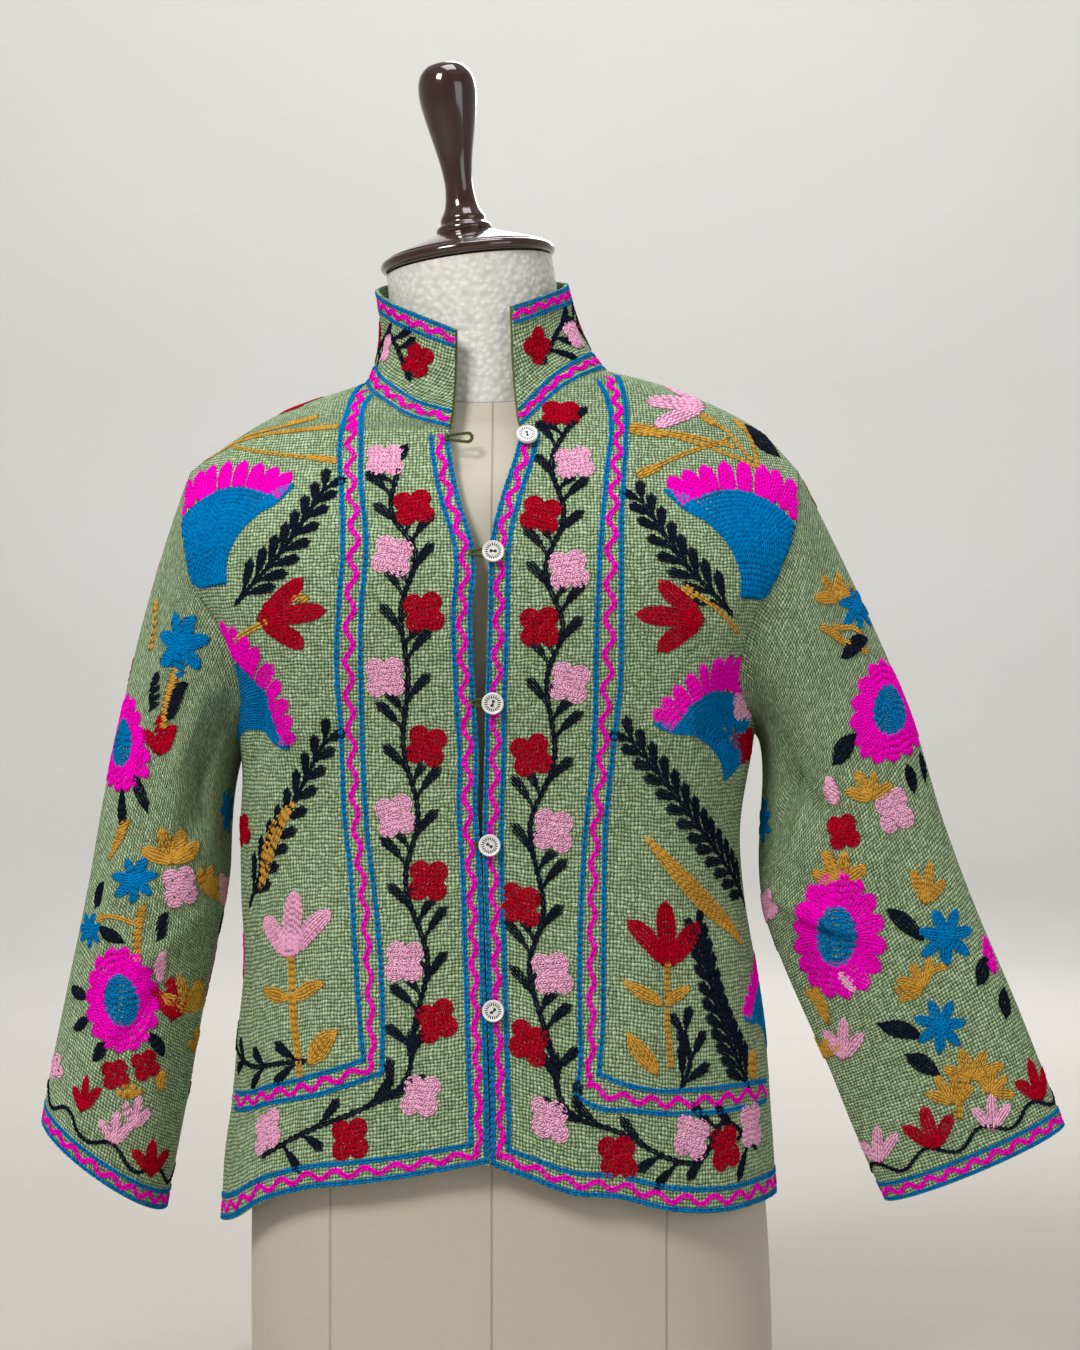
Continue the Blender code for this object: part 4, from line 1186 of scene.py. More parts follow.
# The cap's and the knob's turned outlines, going up: radius and height
CAP_TRIM = numbers("""
0.0500 0.0000
0.0580 0.0004
0.0606 0.0022
0.0612 0.0045
0.0604 0.0068
0.0585 0.0082
0.0568 0.0084
0.0562 0.0096
0.0535 0.0108
0.0440 0.0142
0.0350 0.0172
0.0270 0.0200
0.0212 0.0225
""")
KNOB_TRIM = numbers("""
0.0190 0.0000
0.0196 0.0020
0.0190 0.0042
0.0172 0.0056
0.0160 0.0070
0.0158 0.0100
0.0146 0.0125
0.0118 0.0180
0.0103 0.0260
0.0098 0.0360
0.0118 0.0520
0.0160 0.0720
0.0195 0.0900
0.0203 0.1000
0.0188 0.1095
0.0142 0.1160
0.0078 0.1188
0.0020 0.1196
""")

# Where the seams of the form's cover run, across its front
FORM_SEAMS = (0.0035, -0.1045, 0.1195)
SEAM_WIDTH = 0.0011


def cover_material():
    """Cream cotton with sewn seams down its front."""
    made = Nodes("cream_cover", 0.85, Sheen_Weight=0.1, Specular_IOR_Level=0.3)
    place = made.coordinates()
    x = made.split(place)[0]
    first, second, third = (x.near(seam + PLACE[0], SEAM_WIDTH) for seam in FORM_SEAMS)
    line = first + second + third
    colour = made.colour_mix(made.noise(place, 6.0, 3.0), (0.47, 0.43, 0.35), (0.55, 0.51, 0.43))
    made.colour(line * 0.55, colour, (0.26, 0.22, 0.16))
    made.bump(made.noise(place, 900.0) * 0.15 - line, 0.0008, 0.8)
    return made.made


def neck_material():
    """Off-white cover with a pebbled face, with painted shade in the hollows between the pebbles."""
    made = Nodes("pebbled_neck", 0.6, Specular_IOR_Level=0.4)
    place = made.coordinates()
    pebble = made.node("ShaderNodeTexVoronoi", {"feature": "SMOOTH_F1"}, Vector=place, Scale=260.0)
    height = Sum(made, pebble.outputs["Distance"])
    # Painted shade: darker in the hollows between the pebbles, where the bump lies low, with a blotchy tone
    # from the noise
    tone_and_painted_shading = (height * 1.1 + made.noise(place, 40.0, 3.0) * 0.25 - 0.12).clamped()
    made.colour(tone_and_painted_shading, (0.78, 0.77, 0.73), (0.50, 0.49, 0.46))
    made.bump(1.0 - height, 0.0009, 0.9)
    return made.made


def wood_material():
    made = Nodes("polished_wood", 0.12, Coat_Weight=0.8, Coat_Roughness=0.06, Specular_IOR_Level=0.6)
    place = made.coordinates()
    long_grain = made.node("ShaderNodeMapping", Vector=place, Scale=(180.0, 180.0, 14.0))
    grain = made.noise(Sum(made, long_grain.outputs[0]), 1.0, 4.0)
    colour = made.colour_mix(grain, (0.006, 0.003, 0.003), (0.066, 0.016, 0.013))
    made.colour(made.noise(place, 25.0) * 0.5, colour, (0.030, 0.008, 0.007))
    return made.made


def build_form():
    for name, slot, columns, rows, surface, material in (
        ("form_torso", "form_cover", 128, 120, form_torso, cover_material),
        ("form_neck", "neck_cover", 96, 12, form_neck, neck_material),
    ):
        bm, across, along = grid(columns, rows, True)[:3]
        set_points(bm.verts, across, along, surface)
        bmesh.ops.holes_fill(bm, edges=[edge for edge in bm.edges if edge.is_boundary], sides=0)
        face_outwards(bm)
        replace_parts(mesh_object(f"{name}_cover", bm, material(), slot), name)
    wood = wood_material()
    place = Matrix.Translation(Vector(CAP_CENTRE) + Vector(PLACE)) @ Matrix.Rotation(CAP_LEAN, 4, "Y")
    for name, trim, steps, up in (
        ("form_cap", CAP_TRIM, 96, 0.0),
        ("form_knob", KNOB_TRIM, 64, CAP_HEIGHT + SEAM_GAP),
    ):
        bm = bmesh.new()
        outline = smooth_path(trim, (len(trim) - 1) * 3 + 1)
        turned(bm, outline, steps, place @ Matrix.Translation((0, 0, up)))
        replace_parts(mesh_object(f"{name}_wood", bm, wood, "dark_wood"), name)


# A button's outline in shares of its radius: with shares of its thickness, then with metres below its top
BUTTON_RIM = ((0.90, 0), (0.98, 0.22), (1, 0.5), (0.98, 0.8))
BUTTON_FACE = ((0.92, 0), (0.85, 0.0001), (0.78, 0.0005), (0.5, 0.0006), (0.25, 0.0006))
BUTTON_PETALS = 20
HOLE_OUT = 0.0014
HOLE_RADIUS = 0.0011

# The two strands of a cord loop
TWIST_LENGTH = 0.0042
TWIST_OUT = 0.00055
TWIST_RADIUS = 0.00068


def button_material():
    """White, with a ring of thin dark petals engraved round two holes."""
    made = Nodes("button_white", 0.28, Coat_Weight=0.4)
    x = made.attribute("local_x")
    y = made.attribute("local_y")
    out = made.math("SQRT", x * x + y * y)
    around = made.math("ARCTAN2", y, x)
    petal = (around * (BUTTON_PETALS / 2)).sine().absolute()
    line = ((petal * out.near(0.0043, 0.0017).power(0.5) - 0.42) * 4.0).clamped()
    hole_out = made.math("SQRT", made.math("POWER", x.absolute() - HOLE_OUT, 2.0) + y * y)
    hole = ((HOLE_RADIUS - hole_out) * 6000.0).clamped()
    rim = out.near(0.0023, 0.0003)
    colour = made.colour_mix((line + rim * 0.6).clamped(), (0.80, 0.80, 0.77), (0.03, 0.03, 0.035))
    made.colour(hole, colour, (0.02, 0.02, 0.025))
    made.bump(1.0 - line * 0.5 - hole, 0.0003, 0.7)
    return made.made


def build_button(index, x, height, finish, thread):
    place, away = on_front(x, height, SEAM_GAP)
    upright = Vector((0, 0, 1)).rotation_difference(Vector(away[0])).to_matrix().to_4x4()
    spin = Matrix.Rotation(0.5 + 1.3 * index, 4, "Z")
    matrix = Matrix.Translation(Vector(place[0]) + Vector(PLACE)) @ upright @ spin
    low = SHANK_LENGTH
    top = SHANK_LENGTH + BUTTON_THICK
    outline = [(SHANK_RADIUS, 0.0), (SHANK_RADIUS, low)]
    outline += [(BUTTON_RADIUS * out, low + BUTTON_THICK * up) for out, up in BUTTON_RIM]
    outline += [(BUTTON_RADIUS * out, top - down) for out, down in BUTTON_FACE]
    bm = bmesh.new()
    turned(bm, outline, 48, matrix)
    made = mesh_object(f"button_{index}_disc", bm, finish, "button", 35)
    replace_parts(made, f"button_{index}")
    bm = bmesh.new()
    turn = np.linspace(0, math.pi, 9)
    path = np.stack([HOLE_OUT * np.cos(turn), 0 * turn, top - 0.0010 + 0.0011 * np.sin(turn)], axis=-1)
    path = [matrix @ Vector(point) for point in path]
    sweep(bm, path, 0.00035, 6)
    face_outwards(bm)
    mesh_object(f"button_{index}_thread", bm, thread, "yarn_black")


def loop_path(button_x, height, fastened):
    """The cord's path: from the left front's edge round the shank and back."""
    edge = float(FRONT_EDGE.read("left", height)) - LOOP_EDGE_LAP
    rest = SEAM_GAP + CORD_RADIUS
    round_shank = SHANK_RADIUS + CORD_RADIUS + SEAM_GAP
    reach = button_x if fastened else edge + LOOP_EDGE_LAP + FREE_LOOP_LENGTH - round_shank
    path = []
    for step in range(LOOP_POINTS + 1):
        share = step / LOOP_POINTS
        turn = LOOP_WRAP * (1 - 2 * share)
        narrow = 1 + LOOP_PINCH * min(math.cos(turn), 0)
        x = reach + round_shank * math.cos(turn)
        z = height + round_shank * math.sin(turn) * narrow
        if math.cos(turn) < 0:
            x = reach + (edge - reach) * math.cos(turn) / math.cos(LOOP_WRAP)
        path.append(on_front(x, z, rest)[0][0] + np.array(PLACE))
    return np.array(path)


def build_loop(index, row, finish):
    """Two strands twisted round each other."""
    path = smooth_path(loop_path(*row), 90)
    ahead = unit(np.gradient(path, axis=0))
    side = unit(np.cross(ahead, (0.0, -1.0, 0.05)))
    up = np.cross(side, ahead)
    bm = bmesh.new()
    for start in (0, math.pi):
        turn = (runs(path) / TWIST_LENGTH * 2 * math.pi + start)[:, None]
        sweep(bm, path + TWIST_OUT * (side * np.cos(turn) + up * np.sin(turn)), TWIST_RADIUS, 8)
    face_outwards(bm)
    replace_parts(mesh_object(f"loop_{index}_cord", bm, finish, "loop_cord"), f"loop_{index}")


def build_fastenings():
    pearl = button_material()
    thread = plain_material("button_thread", (0.02, 0.02, 0.03), 0.8, 0.3)
    cord = yarn_material("olive_cord", (0.060, 0.080, 0.020), (0.200, 0.240, 0.080))
    for index, row in enumerate(BUTTONS, start=1):
        build_button(index, *row[:2], pearl, thread)
        build_loop(index, row, cord)


def strip(name, surface, inside, columns, rows, sizes, finish):
    """A facing strip behind one column of a cloth piece, standing a little proud of its edge."""
    row_count, top = rows

    def between(shape, u, v):
        share = (u * (sizes["width"] + sizes["proud"]) - sizes["proud"])[:, None]
        return shape(0 * u + columns[0], v * top) * (1 - share) + shape(0 * u + columns[1], v * top) * share

    face = partial(between, surface)
    aim = partial(between, inside)
    made = cloth(name, 3, row_count, face, aim, None, finish, "facing", wall=FACING, depth=CLOTH + SEAM_GAP)
    declare(Chart(face, 0.5, 1), (name.replace("facing", "cloth"),))


def declare(chart, rests_on):
    """Works out how wide and long the cloth is laid flat, and its area, but does nothing with them."""
    steps = np.linalg.norm(np.diff(chart.points, axis=1), axis=-1)
    rises = np.linalg.norm(np.diff(chart.points, axis=0), axis=-1)
    area = float((((steps[1:] + steps[:-1]) / 2) * ((rises[:, 1:] + rises[:, :-1]) / 2)).sum())
    width = float(steps.sum(axis=1).max())
    length = float(rises.sum(axis=0).max())
    area = max(min(area, width * length), 0.3 * width * length)


# Where round a sleeve its chart starts and ends, on the side that faces the body
SLEEVE_CHART = (-0.26, 0.76)


def panels():
    """The jacket's six cloth pieces: how each is laid and where its middle column is."""
    made = {}
    rows = ROWS * FINER_ROWS
    for side, name in enumerate(SIDES):
        facing = 2 * side - 1
        shape = partial(front, side)
        aim = partial(panel_inside, shape, facing, lambda u, side=side: [(side, u > 1 - ON_LINE)])
        made[f"front_{name}"] = (FRONT_COLUMNS * FINER_COLUMNS, rows, shape, aim, False, 0.0, facing)
        size = (2 * ROWS_BESIDE * FINER_COLUMNS, SLEEVE_ROWS * FINER_SLEEVE_ROWS)
        aim = partial(sleeve_inside, side)
        made[f"sleeve_{name}"] = (*size, partial(sleeve, side), aim, True, 0.25, facing)
    aim = partial(panel_inside, back, -1, lambda u: [(0, u < ON_LINE), (1, u > 1 - ON_LINE)])
    made["back"] = (BACK_COLUMNS * FINER_COLUMNS, rows, back, aim, False, 0.5, -1)
    rows = COLLAR_ROWS * FINER_COLLAR_ROWS
    made["collar"] = (COLLAR_COLUMNS * FINER_COLUMNS, rows, collar, collar_inside, False, 0.5, -1)
    return made


def build_jacket():
    weave = weave_material()
    charts = {}
    for name, (columns, rows, shape, aim, tube, middle, facing) in panels().items():
        chart = Chart(shape, middle, facing, *(SLEEVE_CHART if tube else (0.0, 1.0)), down=tube)
        charts[name] = chart
        whole = Chart(shape, middle, facing) if tube else chart
        made = cloth(name, columns, rows, shape, aim, whole, weave, "jacket_cloth", tube=tube)
        declare(whole, ("form_torso_cover",) if name != "collar" else ("form_neck_cover",))
    olive = plain_material("olive_facing", (0.15, 0.18, 0.06), 0.85, 0.4, 900.0)
    for piece, shape, aim, count, rows, sizes in (
        ("collar", collar, collar_inside, COLLAR_COLUMNS, (24, 1), COLLAR_FACING),
        ("slit", back, panels()["back"][3], BACK_COLUMNS, (10, SLIT_FACING_ROWS / ROWS), SLIT_FACING),
    ):
        for name, first, second in (("left", 0, 1), ("right", count, count - 1)):
            columns = (first / count, second / count)
            strip(f"{piece}_facing_{name}", shape, aim, columns, rows, sizes, olive)
    return charts


# Chain stitches: how long and wide a link is, how far apart links and rows of links lie
LINK_PITCH = 0.0037
LINK_LENGTH = 0.0072
LINK_WIDTH = 0.0033
ROW_GAP = 0.0025
EDGE_MARGIN = 0.0012
LINK_HIGH = 0.0009

# Where a filled shape narrows, a row ends when its neighbours are nearer than this share of the row gap
ROW_END = 0.62

# Each link is two strands that part and meet again: places along, across and above the cloth
STRAND_RADIUS = 0.29
STRAND_HIGH = 0.60
STRANDS = (
    {"tail": (-0.52, 0.03, 0.05), "middle": (0.06, 0.27, 0.45), "head": (0.50, 0.09, 0.30)},
    {"tail": (-0.52, -0.03, 0.05), "middle": (0.06, -0.27, 0.45), "head": (0.50, -0.09, 0.30)},
)

# Each yarn's dark and light colour: a stitch's random tone and its painted shade and highlight mix between
# them
YARNS = {
    "blue": ((0.000, 0.078, 0.230), (0.000, 0.225, 0.580)),
    "hot_pink": ((0.700, 0.000, 0.290), (1.000, 0.000, 0.640)),
    "light_pink": ((0.520, 0.190, 0.330), (1.000, 0.520, 0.740)),
    "red": ((0.130, 0.000, 0.004), (0.520, 0.002, 0.020)),
    "black": ((0.001, 0.002, 0.005), (0.010, 0.014, 0.028)),
    "mustard": ((0.300, 0.140, 0.012), (0.680, 0.370, 0.060)),
}


def link_template():
    """The corners of one link, and the corners that each of its faces joins."""
    bm = bmesh.new()
    for strand in STRANDS:
        made = bmesh.ops.create_uvsphere(bm, u_segments=4, v_segments=2, radius=1.0)["verts"]
        for vert in made:
            if vert.co.z > 0.5:
                vert.co = strand["head"]
            elif vert.co.z < -0.5:
                vert.co = strand["tail"]
            else:
                slant = Matrix.Rotation(math.pi / 4, 3, "Z") @ vert.co
                across = Vector((0, slant.x * STRAND_RADIUS, slant.y * STRAND_HIGH))
                vert.co = Vector(strand["middle"]) + across
    bmesh.ops.triangulate(bm, faces=bm.faces[:])
    bmesh.ops.recalc_face_normals(bm, faces=bm.faces[:])
    bm.verts.ensure_lookup_table()
    corners = np.array([vert.co[:] for vert in bm.verts])
    faces = np.array([[vert.index for vert in face.verts] for face in bm.faces])
    bm.free()
    return corners, faces


class Needle:
    """Works rows of links on one piece's chart. Motifs are drawn in millimetres, then put in place."""

    def __init__(self, chart):
        self.chart = chart
        self.links = {name: [] for name in YARNS}
        self.covers = []
        self.look()
        self.move((0, 0))

    def look(self, lens=None):
        """Motifs are drawn as seen through a lens: how far the chart moves for a move in the picture."""
        self.lens = np.eye(2) if lens is None else lens
        self.gain = math.sqrt(abs(np.linalg.det(self.lens)))

    def move(self, place, turn=0.0, size=1.0, mirror=False):
        self.place = np.array(place, dtype=float)
        self.turn = math.radians(turn)
        self.size = size
        self.mirror = mirror
        self.gap = ROW_GAP * 1000 / size

    def placed(self, points):
        points = np.array(points, dtype=float) * 0.001 * self.size
        if self.mirror:
            points[:, 0] *= -1
        sine, cosine = math.sin(self.turn), math.cos(self.turn)
        turned_points = points @ np.array([[cosine, sine], [-sine, cosine]])
        return self.place + turned_points @ self.lens.T

    def row(self, yarn, points):
        self.flat_row(yarn, self.placed(points), self.gain)

    def stem(self, yarn, *points):
        """A row that bends softly through a few points."""
        self.flat_row(yarn, smooth_path(self.placed(points), 12 * len(points)), self.gain)

    def ray(self, yarn, base, turn, run, side):
        """A row that runs one way from its base, and swings to its side."""
        x = base[0] + run * math.cos(turn) - side * math.sin(turn)
        y = base[1] + run * math.sin(turn) + side * math.cos(turn)
        self.row(yarn, np.column_stack([x, y]))

    def flat_row(self, yarn, path, width):
        """A row of links along a path in metres on the chart."""
        path = np.array(path, dtype=float)
        run = runs(path)
        count = max(1, int(round(run[-1] / (LINK_PITCH * max(width, 0.8)))))
        spots = at_runs(path, run, np.linspace(0, run[-1], count + 1))
        ahead = np.diff(spots, axis=0)
        heading = np.arctan2(ahead[:, 1], ahead[:, 0])
        length = np.linalg.norm(ahead, axis=1) * LINK_LENGTH / LINK_PITCH
        wide = np.full(count, width * LINK_WIDTH)
        order = np.full(count, len(self.covers))
        self.links[yarn].append(np.column_stack([(spots[1:] + spots[:-1]) / 2, heading, length, wide, order]))

    def cover(self, radius, place=(0, 0)):
        """Later work covers what lies within a radius of a place."""
        middle = self.placed([place])[0]
        self.covers.append((middle[0], middle[1], radius * 0.001 * self.size))

    def between(self, yarn, first, second, swell):
        """Rows that fill the cloth between two paths. Where the paths draw together, rows end."""
        first = smooth_path(first, 40)
        second = smooth_path(second, 40)
        needed = np.linalg.norm(second - first, axis=1) / self.gap
        rows = 2 ** int(math.ceil(math.log2(needed.max())))
        along = np.linspace(0, 1, 40)
        for index in range(rows + 1):
            share = index / rows
            path = first * (1 - share) + second * share
            path[:, 1] += swell * 4 * share * (1 - share) * along**2
            level_up = rows if index in (0, rows) else index & -index
            kept = path[level_up >= ROW_END * rows / needed]
            if len(kept) > 3:
                self.row(yarn, kept)

    def disc(self, yarn, place, radius, tall=1.0):
        gap = self.gap
        reach = radius - gap * 0.45
        while reach > gap * 0.2:
            turns = np.linspace(0, 2 * math.pi, max(10, int(reach * 3)))
            self.row(yarn, np.column_stack([reach * np.cos(turns), tall * reach * np.sin(turns)]) + place)
            reach -= gap
        if reach > -gap * 0.4:
            self.row(yarn, [(place[0] - gap * 0.4, place[1]), (place[0] + gap * 0.4, place[1])])

    def leaf(self, yarn, base, turn, length, width, bend=0.0, blunt=0.8, narrow=0.12):
        """A leaf or petal filled with rows that follow its shape."""
        rows = max(1, int(round(width / self.gap)))
        share = np.linspace(0, 1, 9)
        for place in np.linspace(-1, 1, rows) if rows > 1 else (0.0,):
            inset = abs(place) * 0.10
            swell = np.sin(math.pi * share**blunt) * (1 - narrow) + narrow
            side = place * (width - self.gap) / 2 * swell + bend * np.sin(math.pi * share / 2)
            self.ray(yarn, base, math.radians(turn), length * (inset + share * (1 - 2 * inset)), side)

    def club(self, yarn, length, width, bend):
        """A finger that starts thin and ends in a wide round tip."""
        across = (width - self.gap) / 2
        for place in (-1, 0, 1):
            run = np.linspace(0.34 * abs(place), 1 - 0.10 * abs(place), 7)
            side = place * across * np.sin(math.pi * run / 1.75) ** 1.5 + bend * np.sin(math.pi * run / 2)
            self.ray(yarn, (0, 0), 0, length * run, side)

    def meshes(self, name, finishes):
        """One joined mesh of all the links of each yarn."""
        template, faces = link_template()
        for yarn, rows in self.links.items():
            if not rows:
                continue
            rows = np.concatenate(rows)
            held = self.chart.shares(rows[:, 0], rows[:, 1], EDGE_MARGIN)[2]
            for index, (x, y, radius) in enumerate(self.covers):
                near = (rows[:, 0] - x) ** 2 + (rows[:, 1] - y) ** 2 < radius**2
                held &= ~(near & (rows[:, 5] <= index))
            rows = rows[held]
            if not len(rows):
                continue
            point, right, up, out = self.chart.frame(rows[:, 0], rows[:, 1])
            heading = rows[:, 2] + RANDOM.normal(0, 0.05, len(rows))
            ahead = right * np.cos(heading)[:, None] + up * np.sin(heading)[:, None]
            long = rows[:, 3] * RANDOM.uniform(0.94, 1.06, len(rows))
            wide = rows[:, 4] * RANDOM.uniform(0.92, 1.08, len(rows))
            high = LINK_HIGH * RANDOM.uniform(0.85, 1.15, len(rows))
            corners = point[:, None]
            for axis, (way, reach) in enumerate(((ahead, long), (np.cross(out, ahead), wide), (out, high))):
                corners = corners + way[:, None] * (template[None, :, axis] * reach[:, None])[..., None]
            count = len(template)
            joined = faces[None] + (np.arange(len(rows)) * count)[:, None, None]
            mesh = bpy.data.meshes.new(f"stitches_{name}_{yarn}")
            mesh.from_pydata(corners.reshape(-1, 3).tolist(), [], joined.reshape(-1, 3).tolist())
            # Painted shade and highlight: each link is darkened where it lies low, near the cloth, and
            # lightened on its top, over a random tone per link
            tone_and_painted_shading = mesh.attributes.new("tone_and_painted_shading", "FLOAT", "POINT")
            tones = np.clip(RANDOM.normal(0.56, 0.15, len(rows)), 0, 1)
            low = np.tile(np.clip(template[:, 2] * 0.9 - 0.42, -0.42, 0.25), len(rows))
            tone_and_painted_shading.data.foreach_set("value", np.clip(np.repeat(tones, count) + low, 0, 1))
            mesh.shade_smooth()
            mesh.materials.append(finishes[yarn])
            made = bpy.data.objects.new(mesh.name, mesh)
            bpy.context.collection.objects.link(made)
            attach(made, "root")


def disc_flower(pen, yarn, place, turn, size):
    """Four round petals."""
    pen.move(place, turn, size)
    pen.cover(12.5)
    for x, y in ((-6.0, -5.9), (6.1, -6.0), (5.9, 6.1), (-6.0, 6.0)):
        pen.disc(yarn, (x, y), 7.2)
    pen.disc(yarn, (0, 0), 2.6)


def ring_flower(pen, yarn, place, turn, size, tall=1.26, petals=16):
    """A ring of petals round a blue middle."""
    pen.move(place, turn, size)
    for height in (-7, 0, 7):
        pen.cover(22, (0, height))
    for step in range(petals):
        angle = 2 * math.pi * (step + 0.5) / petals
        out = np.array([math.cos(angle), tall * math.sin(angle)])
        aim = math.degrees(math.atan2(out[1], out[0]))
        pen.leaf(yarn, out * 10.0, aim, 14.5 * math.hypot(*out), 9.6, blunt=1.3, narrow=0.6)
    pen.disc("blue", (0, 0), 10.8, 1.15 * tall)


def carnation(pen, place, turn, size, own, petals=12):
    """A blue cup that opens into a fan of pink petals. Its foot is at the place, or else its middle."""
    pen.move(place, turn, size, own.get("mirror", False))
    if "below" in own:
        pen.place = 2 * pen.place - pen.placed([(own["beside"], own["below"])])[0]
    for height, radius in ((14, 12), (32, 20), (48, 22)):
        pen.cover(radius, (2, height))
    crown = smooth_path([(-43, 50), (-30, 56), (-12, 61), (8, 60), (24, 52), (35, 38), (38, 26)], 60)
    for step in range(petals):
        share = (step + 0.5) / petals
        aim = math.radians(128 - 118 * share)
        base = crown[int(share * 59)] - 5.0 * np.array([math.cos(aim), math.sin(aim)])
        pen.leaf("hot_pink", base, math.degrees(aim), 26.0, 10.4, blunt=1.35, narrow=0.7)
    for share in np.linspace(0, 1, 16):
        aim = math.radians(128 - 118 * share)
        radius = 4.0 + 5.0 * min(3 * share, 1)
        edge = (-44 + 82 * share, 51 - 21 * share + 80 * share * (1 - share))
        pen.cover(radius, (edge[0] - radius * math.cos(aim), edge[1] - radius * math.sin(aim)))
    left = [(-9, 0), (-10, 14), (-17, 28), (-29, 40), (-44, 51)]
    right = [(12, 0), (25, 8), (34, 18), (38, 25), (38, 30)]
    pen.between("blue", left, right, 20.0)
    pen.leaf("blue", (-30, 43), 149, 30, 9.0, bend=-2.0, blunt=0.9, narrow=0.3)


def fern(pen, yarn, path, leaves, length=25.0, width=7.0, spread=38):
    """A stem in metres on the chart with leaves on both sides, growing from its first point."""
    pen.move((0, 0))
    path = smooth_path(path, 80)
    pen.flat_row(yarn, path, 1.25)
    ahead = np.gradient(path, axis=0)
    for step in range(leaves):
        share = 0.08 + 0.90 * step / (leaves - 1)
        index = int(share * 79)
        aim = math.degrees(math.atan2(ahead[index, 1], ahead[index, 0]))
        for side in (-1, 1):
            pen.move(path[index], aim + side * spread)
            pen.club(yarn, length * (1 - 0.35 * share), width, -side * 2.6)


def tulip(pen, yarn, place, turn, size, spread=46):
    """Three petals that open from one foot."""
    pen.move(place, turn, size)
    pen.cover(9, (0, 10))
    pen.leaf(yarn, (0, 0), 90, 28, 9.2, blunt=1.3, narrow=0.6)
    for side in (-1, 1):
        pen.leaf(yarn, (side * 2.0, 0), 90 - side * spread, 22, 8.8, bend=side * 3.2, blunt=1.3, narrow=0.6)
    pen.leaf(yarn, (0, -3), 90, 11, 9.0, narrow=0.7)


def star_flower(pen, yarn, place, turn, size, petals=7):
    pen.move(place, turn, size)
    pen.cover(15)
    for step in range(petals):
        pen.leaf(yarn, (0, 0), 360 * step / petals, 21, 8.8, blunt=1.3, narrow=0.5)
    pen.disc(yarn, (0, 0), 4.0)


def leaf_spray(pen, yarn, place, turn, size, leaves=4, spread=130, length=19, width=7.2):
    pen.move(place, turn, size)
    pen.cover(8, (0, 7))
    for step in range(leaves):
        aim = 90 + spread * (step / (leaves - 1) - 0.5)
        pen.leaf(yarn, (0, 0), aim, length * (1 - 0.1 * (step % 2)), width, blunt=1.3, narrow=0.5)


def zigzag(pen, path, reach=0.0027, period=0.0215):
    """A wavy pink row that swings to and fro across a path."""
    path = np.array(path, dtype=float)
    run = runs(path)
    places = np.linspace(0, run[-1], max(8, int(run[-1] / 0.0015)))
    spots = at_runs(path, run, places)
    wobble = 1 + 0.25 * np.sin(places / 0.11)
    swing = np.sin(2 * math.pi * places / period + 1.3 * np.sin(places / 0.07))
    pen.flat_row("hot_pink", spots + leftwards(spots)[1] * (reach * wobble * swing)[:, None], 1.3)


def vine(pen, flowers, lean=0.0155):
    """A black stem that winds between the flowers, first on one side of them and then on the other."""
    spots = np.array([place for place, yarn, turn, size in flowers])
    sizes = np.array([size for place, yarn, turn, size in flowers])
    ways, aside = leftwards(spots)
    middle = spots.copy()
    middle[1:-1] = (spots[:-2] + 2 * spots[1:-1] + spots[2:]) / 4
    leans = np.sign(np.einsum("ij,ij->i", middle - spots, aside))
    leans[0] = -leans[1]
    leans[-1] = -leans[-2]
    stem = smooth_path(spots + aside * (leans * lean * sizes)[:, None], 24 * (len(spots) - 1) + 1)
    pen.move((0, 0))
    pen.flat_row("black", stem, 1.35)
    for index, (place, yarn, turn, size) in enumerate(flowers):
        ahead = math.degrees(math.atan2(-ways[index, 1], -ways[index, 0]))
        for step, flip, long in ((-6, 1, 25.0), (4, -1, 20.0), (9, 1, 24.0), (13, -1, 20.0)):
            at = 24 * index + step
            if 0 < at < len(stem) - 1:
                pen.move(stem[at], ahead - flip * leans[index] * 54, size)
                pen.club("black", long, 6.8, flip * leans[index] * 6.0)
    for place, yarn, turn, size in flowers:
        disc_flower(pen, yarn, place, turn, size)


# The motifs, where the photograph shows them: kind, yarn, the pixel of the foot or middle, the pixel of the
# tip if it has one, and sizes of its own
FRONT_MOTIFS = {
    "front_left": """
tulip red 284 412 318 402
branch mustard 204 462 320 421
branch mustard 232 444 318 437
branch mustard 232 446 298 468
carnation blue 214 584 222 462 mirror=1
fern black 236 602 326 488 leaves=8
branch mustard 234 640 272 588
tulip red 264 620 316 614
carnation blue 256 708 mirror=1 beside=-11 below=42 turn=-55 size=1.05
fern black 250 905 327 738 leaves=9
long_leaf mustard 259 896 307 820 width=9
tulip light_pink 290 952 290 886
stem mustard 291 956 302 1058
leaf mustard 291 1000 254 992 width=9
leaf mustard 291 1000 331 985 width=9
leaf mustard 308 1066 338 1036 width=13
fern black 306 1062 237 1040 leaves=4
disc red 243 830 size=0.8
leaf hot_pink 240 980 252 930 width=11
""",
    "front_right": """
tulip light_pink 700 405 655 398
branch mustard 762 470 640 418
branch mustard 735 448 638 434
branch mustard 728 440 648 467
branch mustard 752 462 700 410
branch mustard 760 470 735 412
leaf black 778 456 750 420 width=13
carnation blue 754 598 750 462
fern black 732 616 640 498 leaves=8
branch mustard 737 634 700 590
tulip red 697 618 640 614
carnation blue 732 772 706 660
fern black 744 905 629 738 leaves=13
long_leaf mustard 744 948 644 820 width=10
tulip red 668 961 668 900
stem mustard 667 962 661 1070
leaf mustard 664 1004 627 982 width=10
leaf mustard 664 1004 692 990 width=9
leaf mustard 658 1076 632 1036 width=13
fern black 680 1088 684 1034 leaves=3
fern black 750 1092 698 935 leaves=11
carnation blue 766 1042 748 940 size=0.7
leaf mustard 752 1080 757 1048 width=9
disc light_pink 742 706 size=0.8
disc red 746 745 size=0.8
""",
}

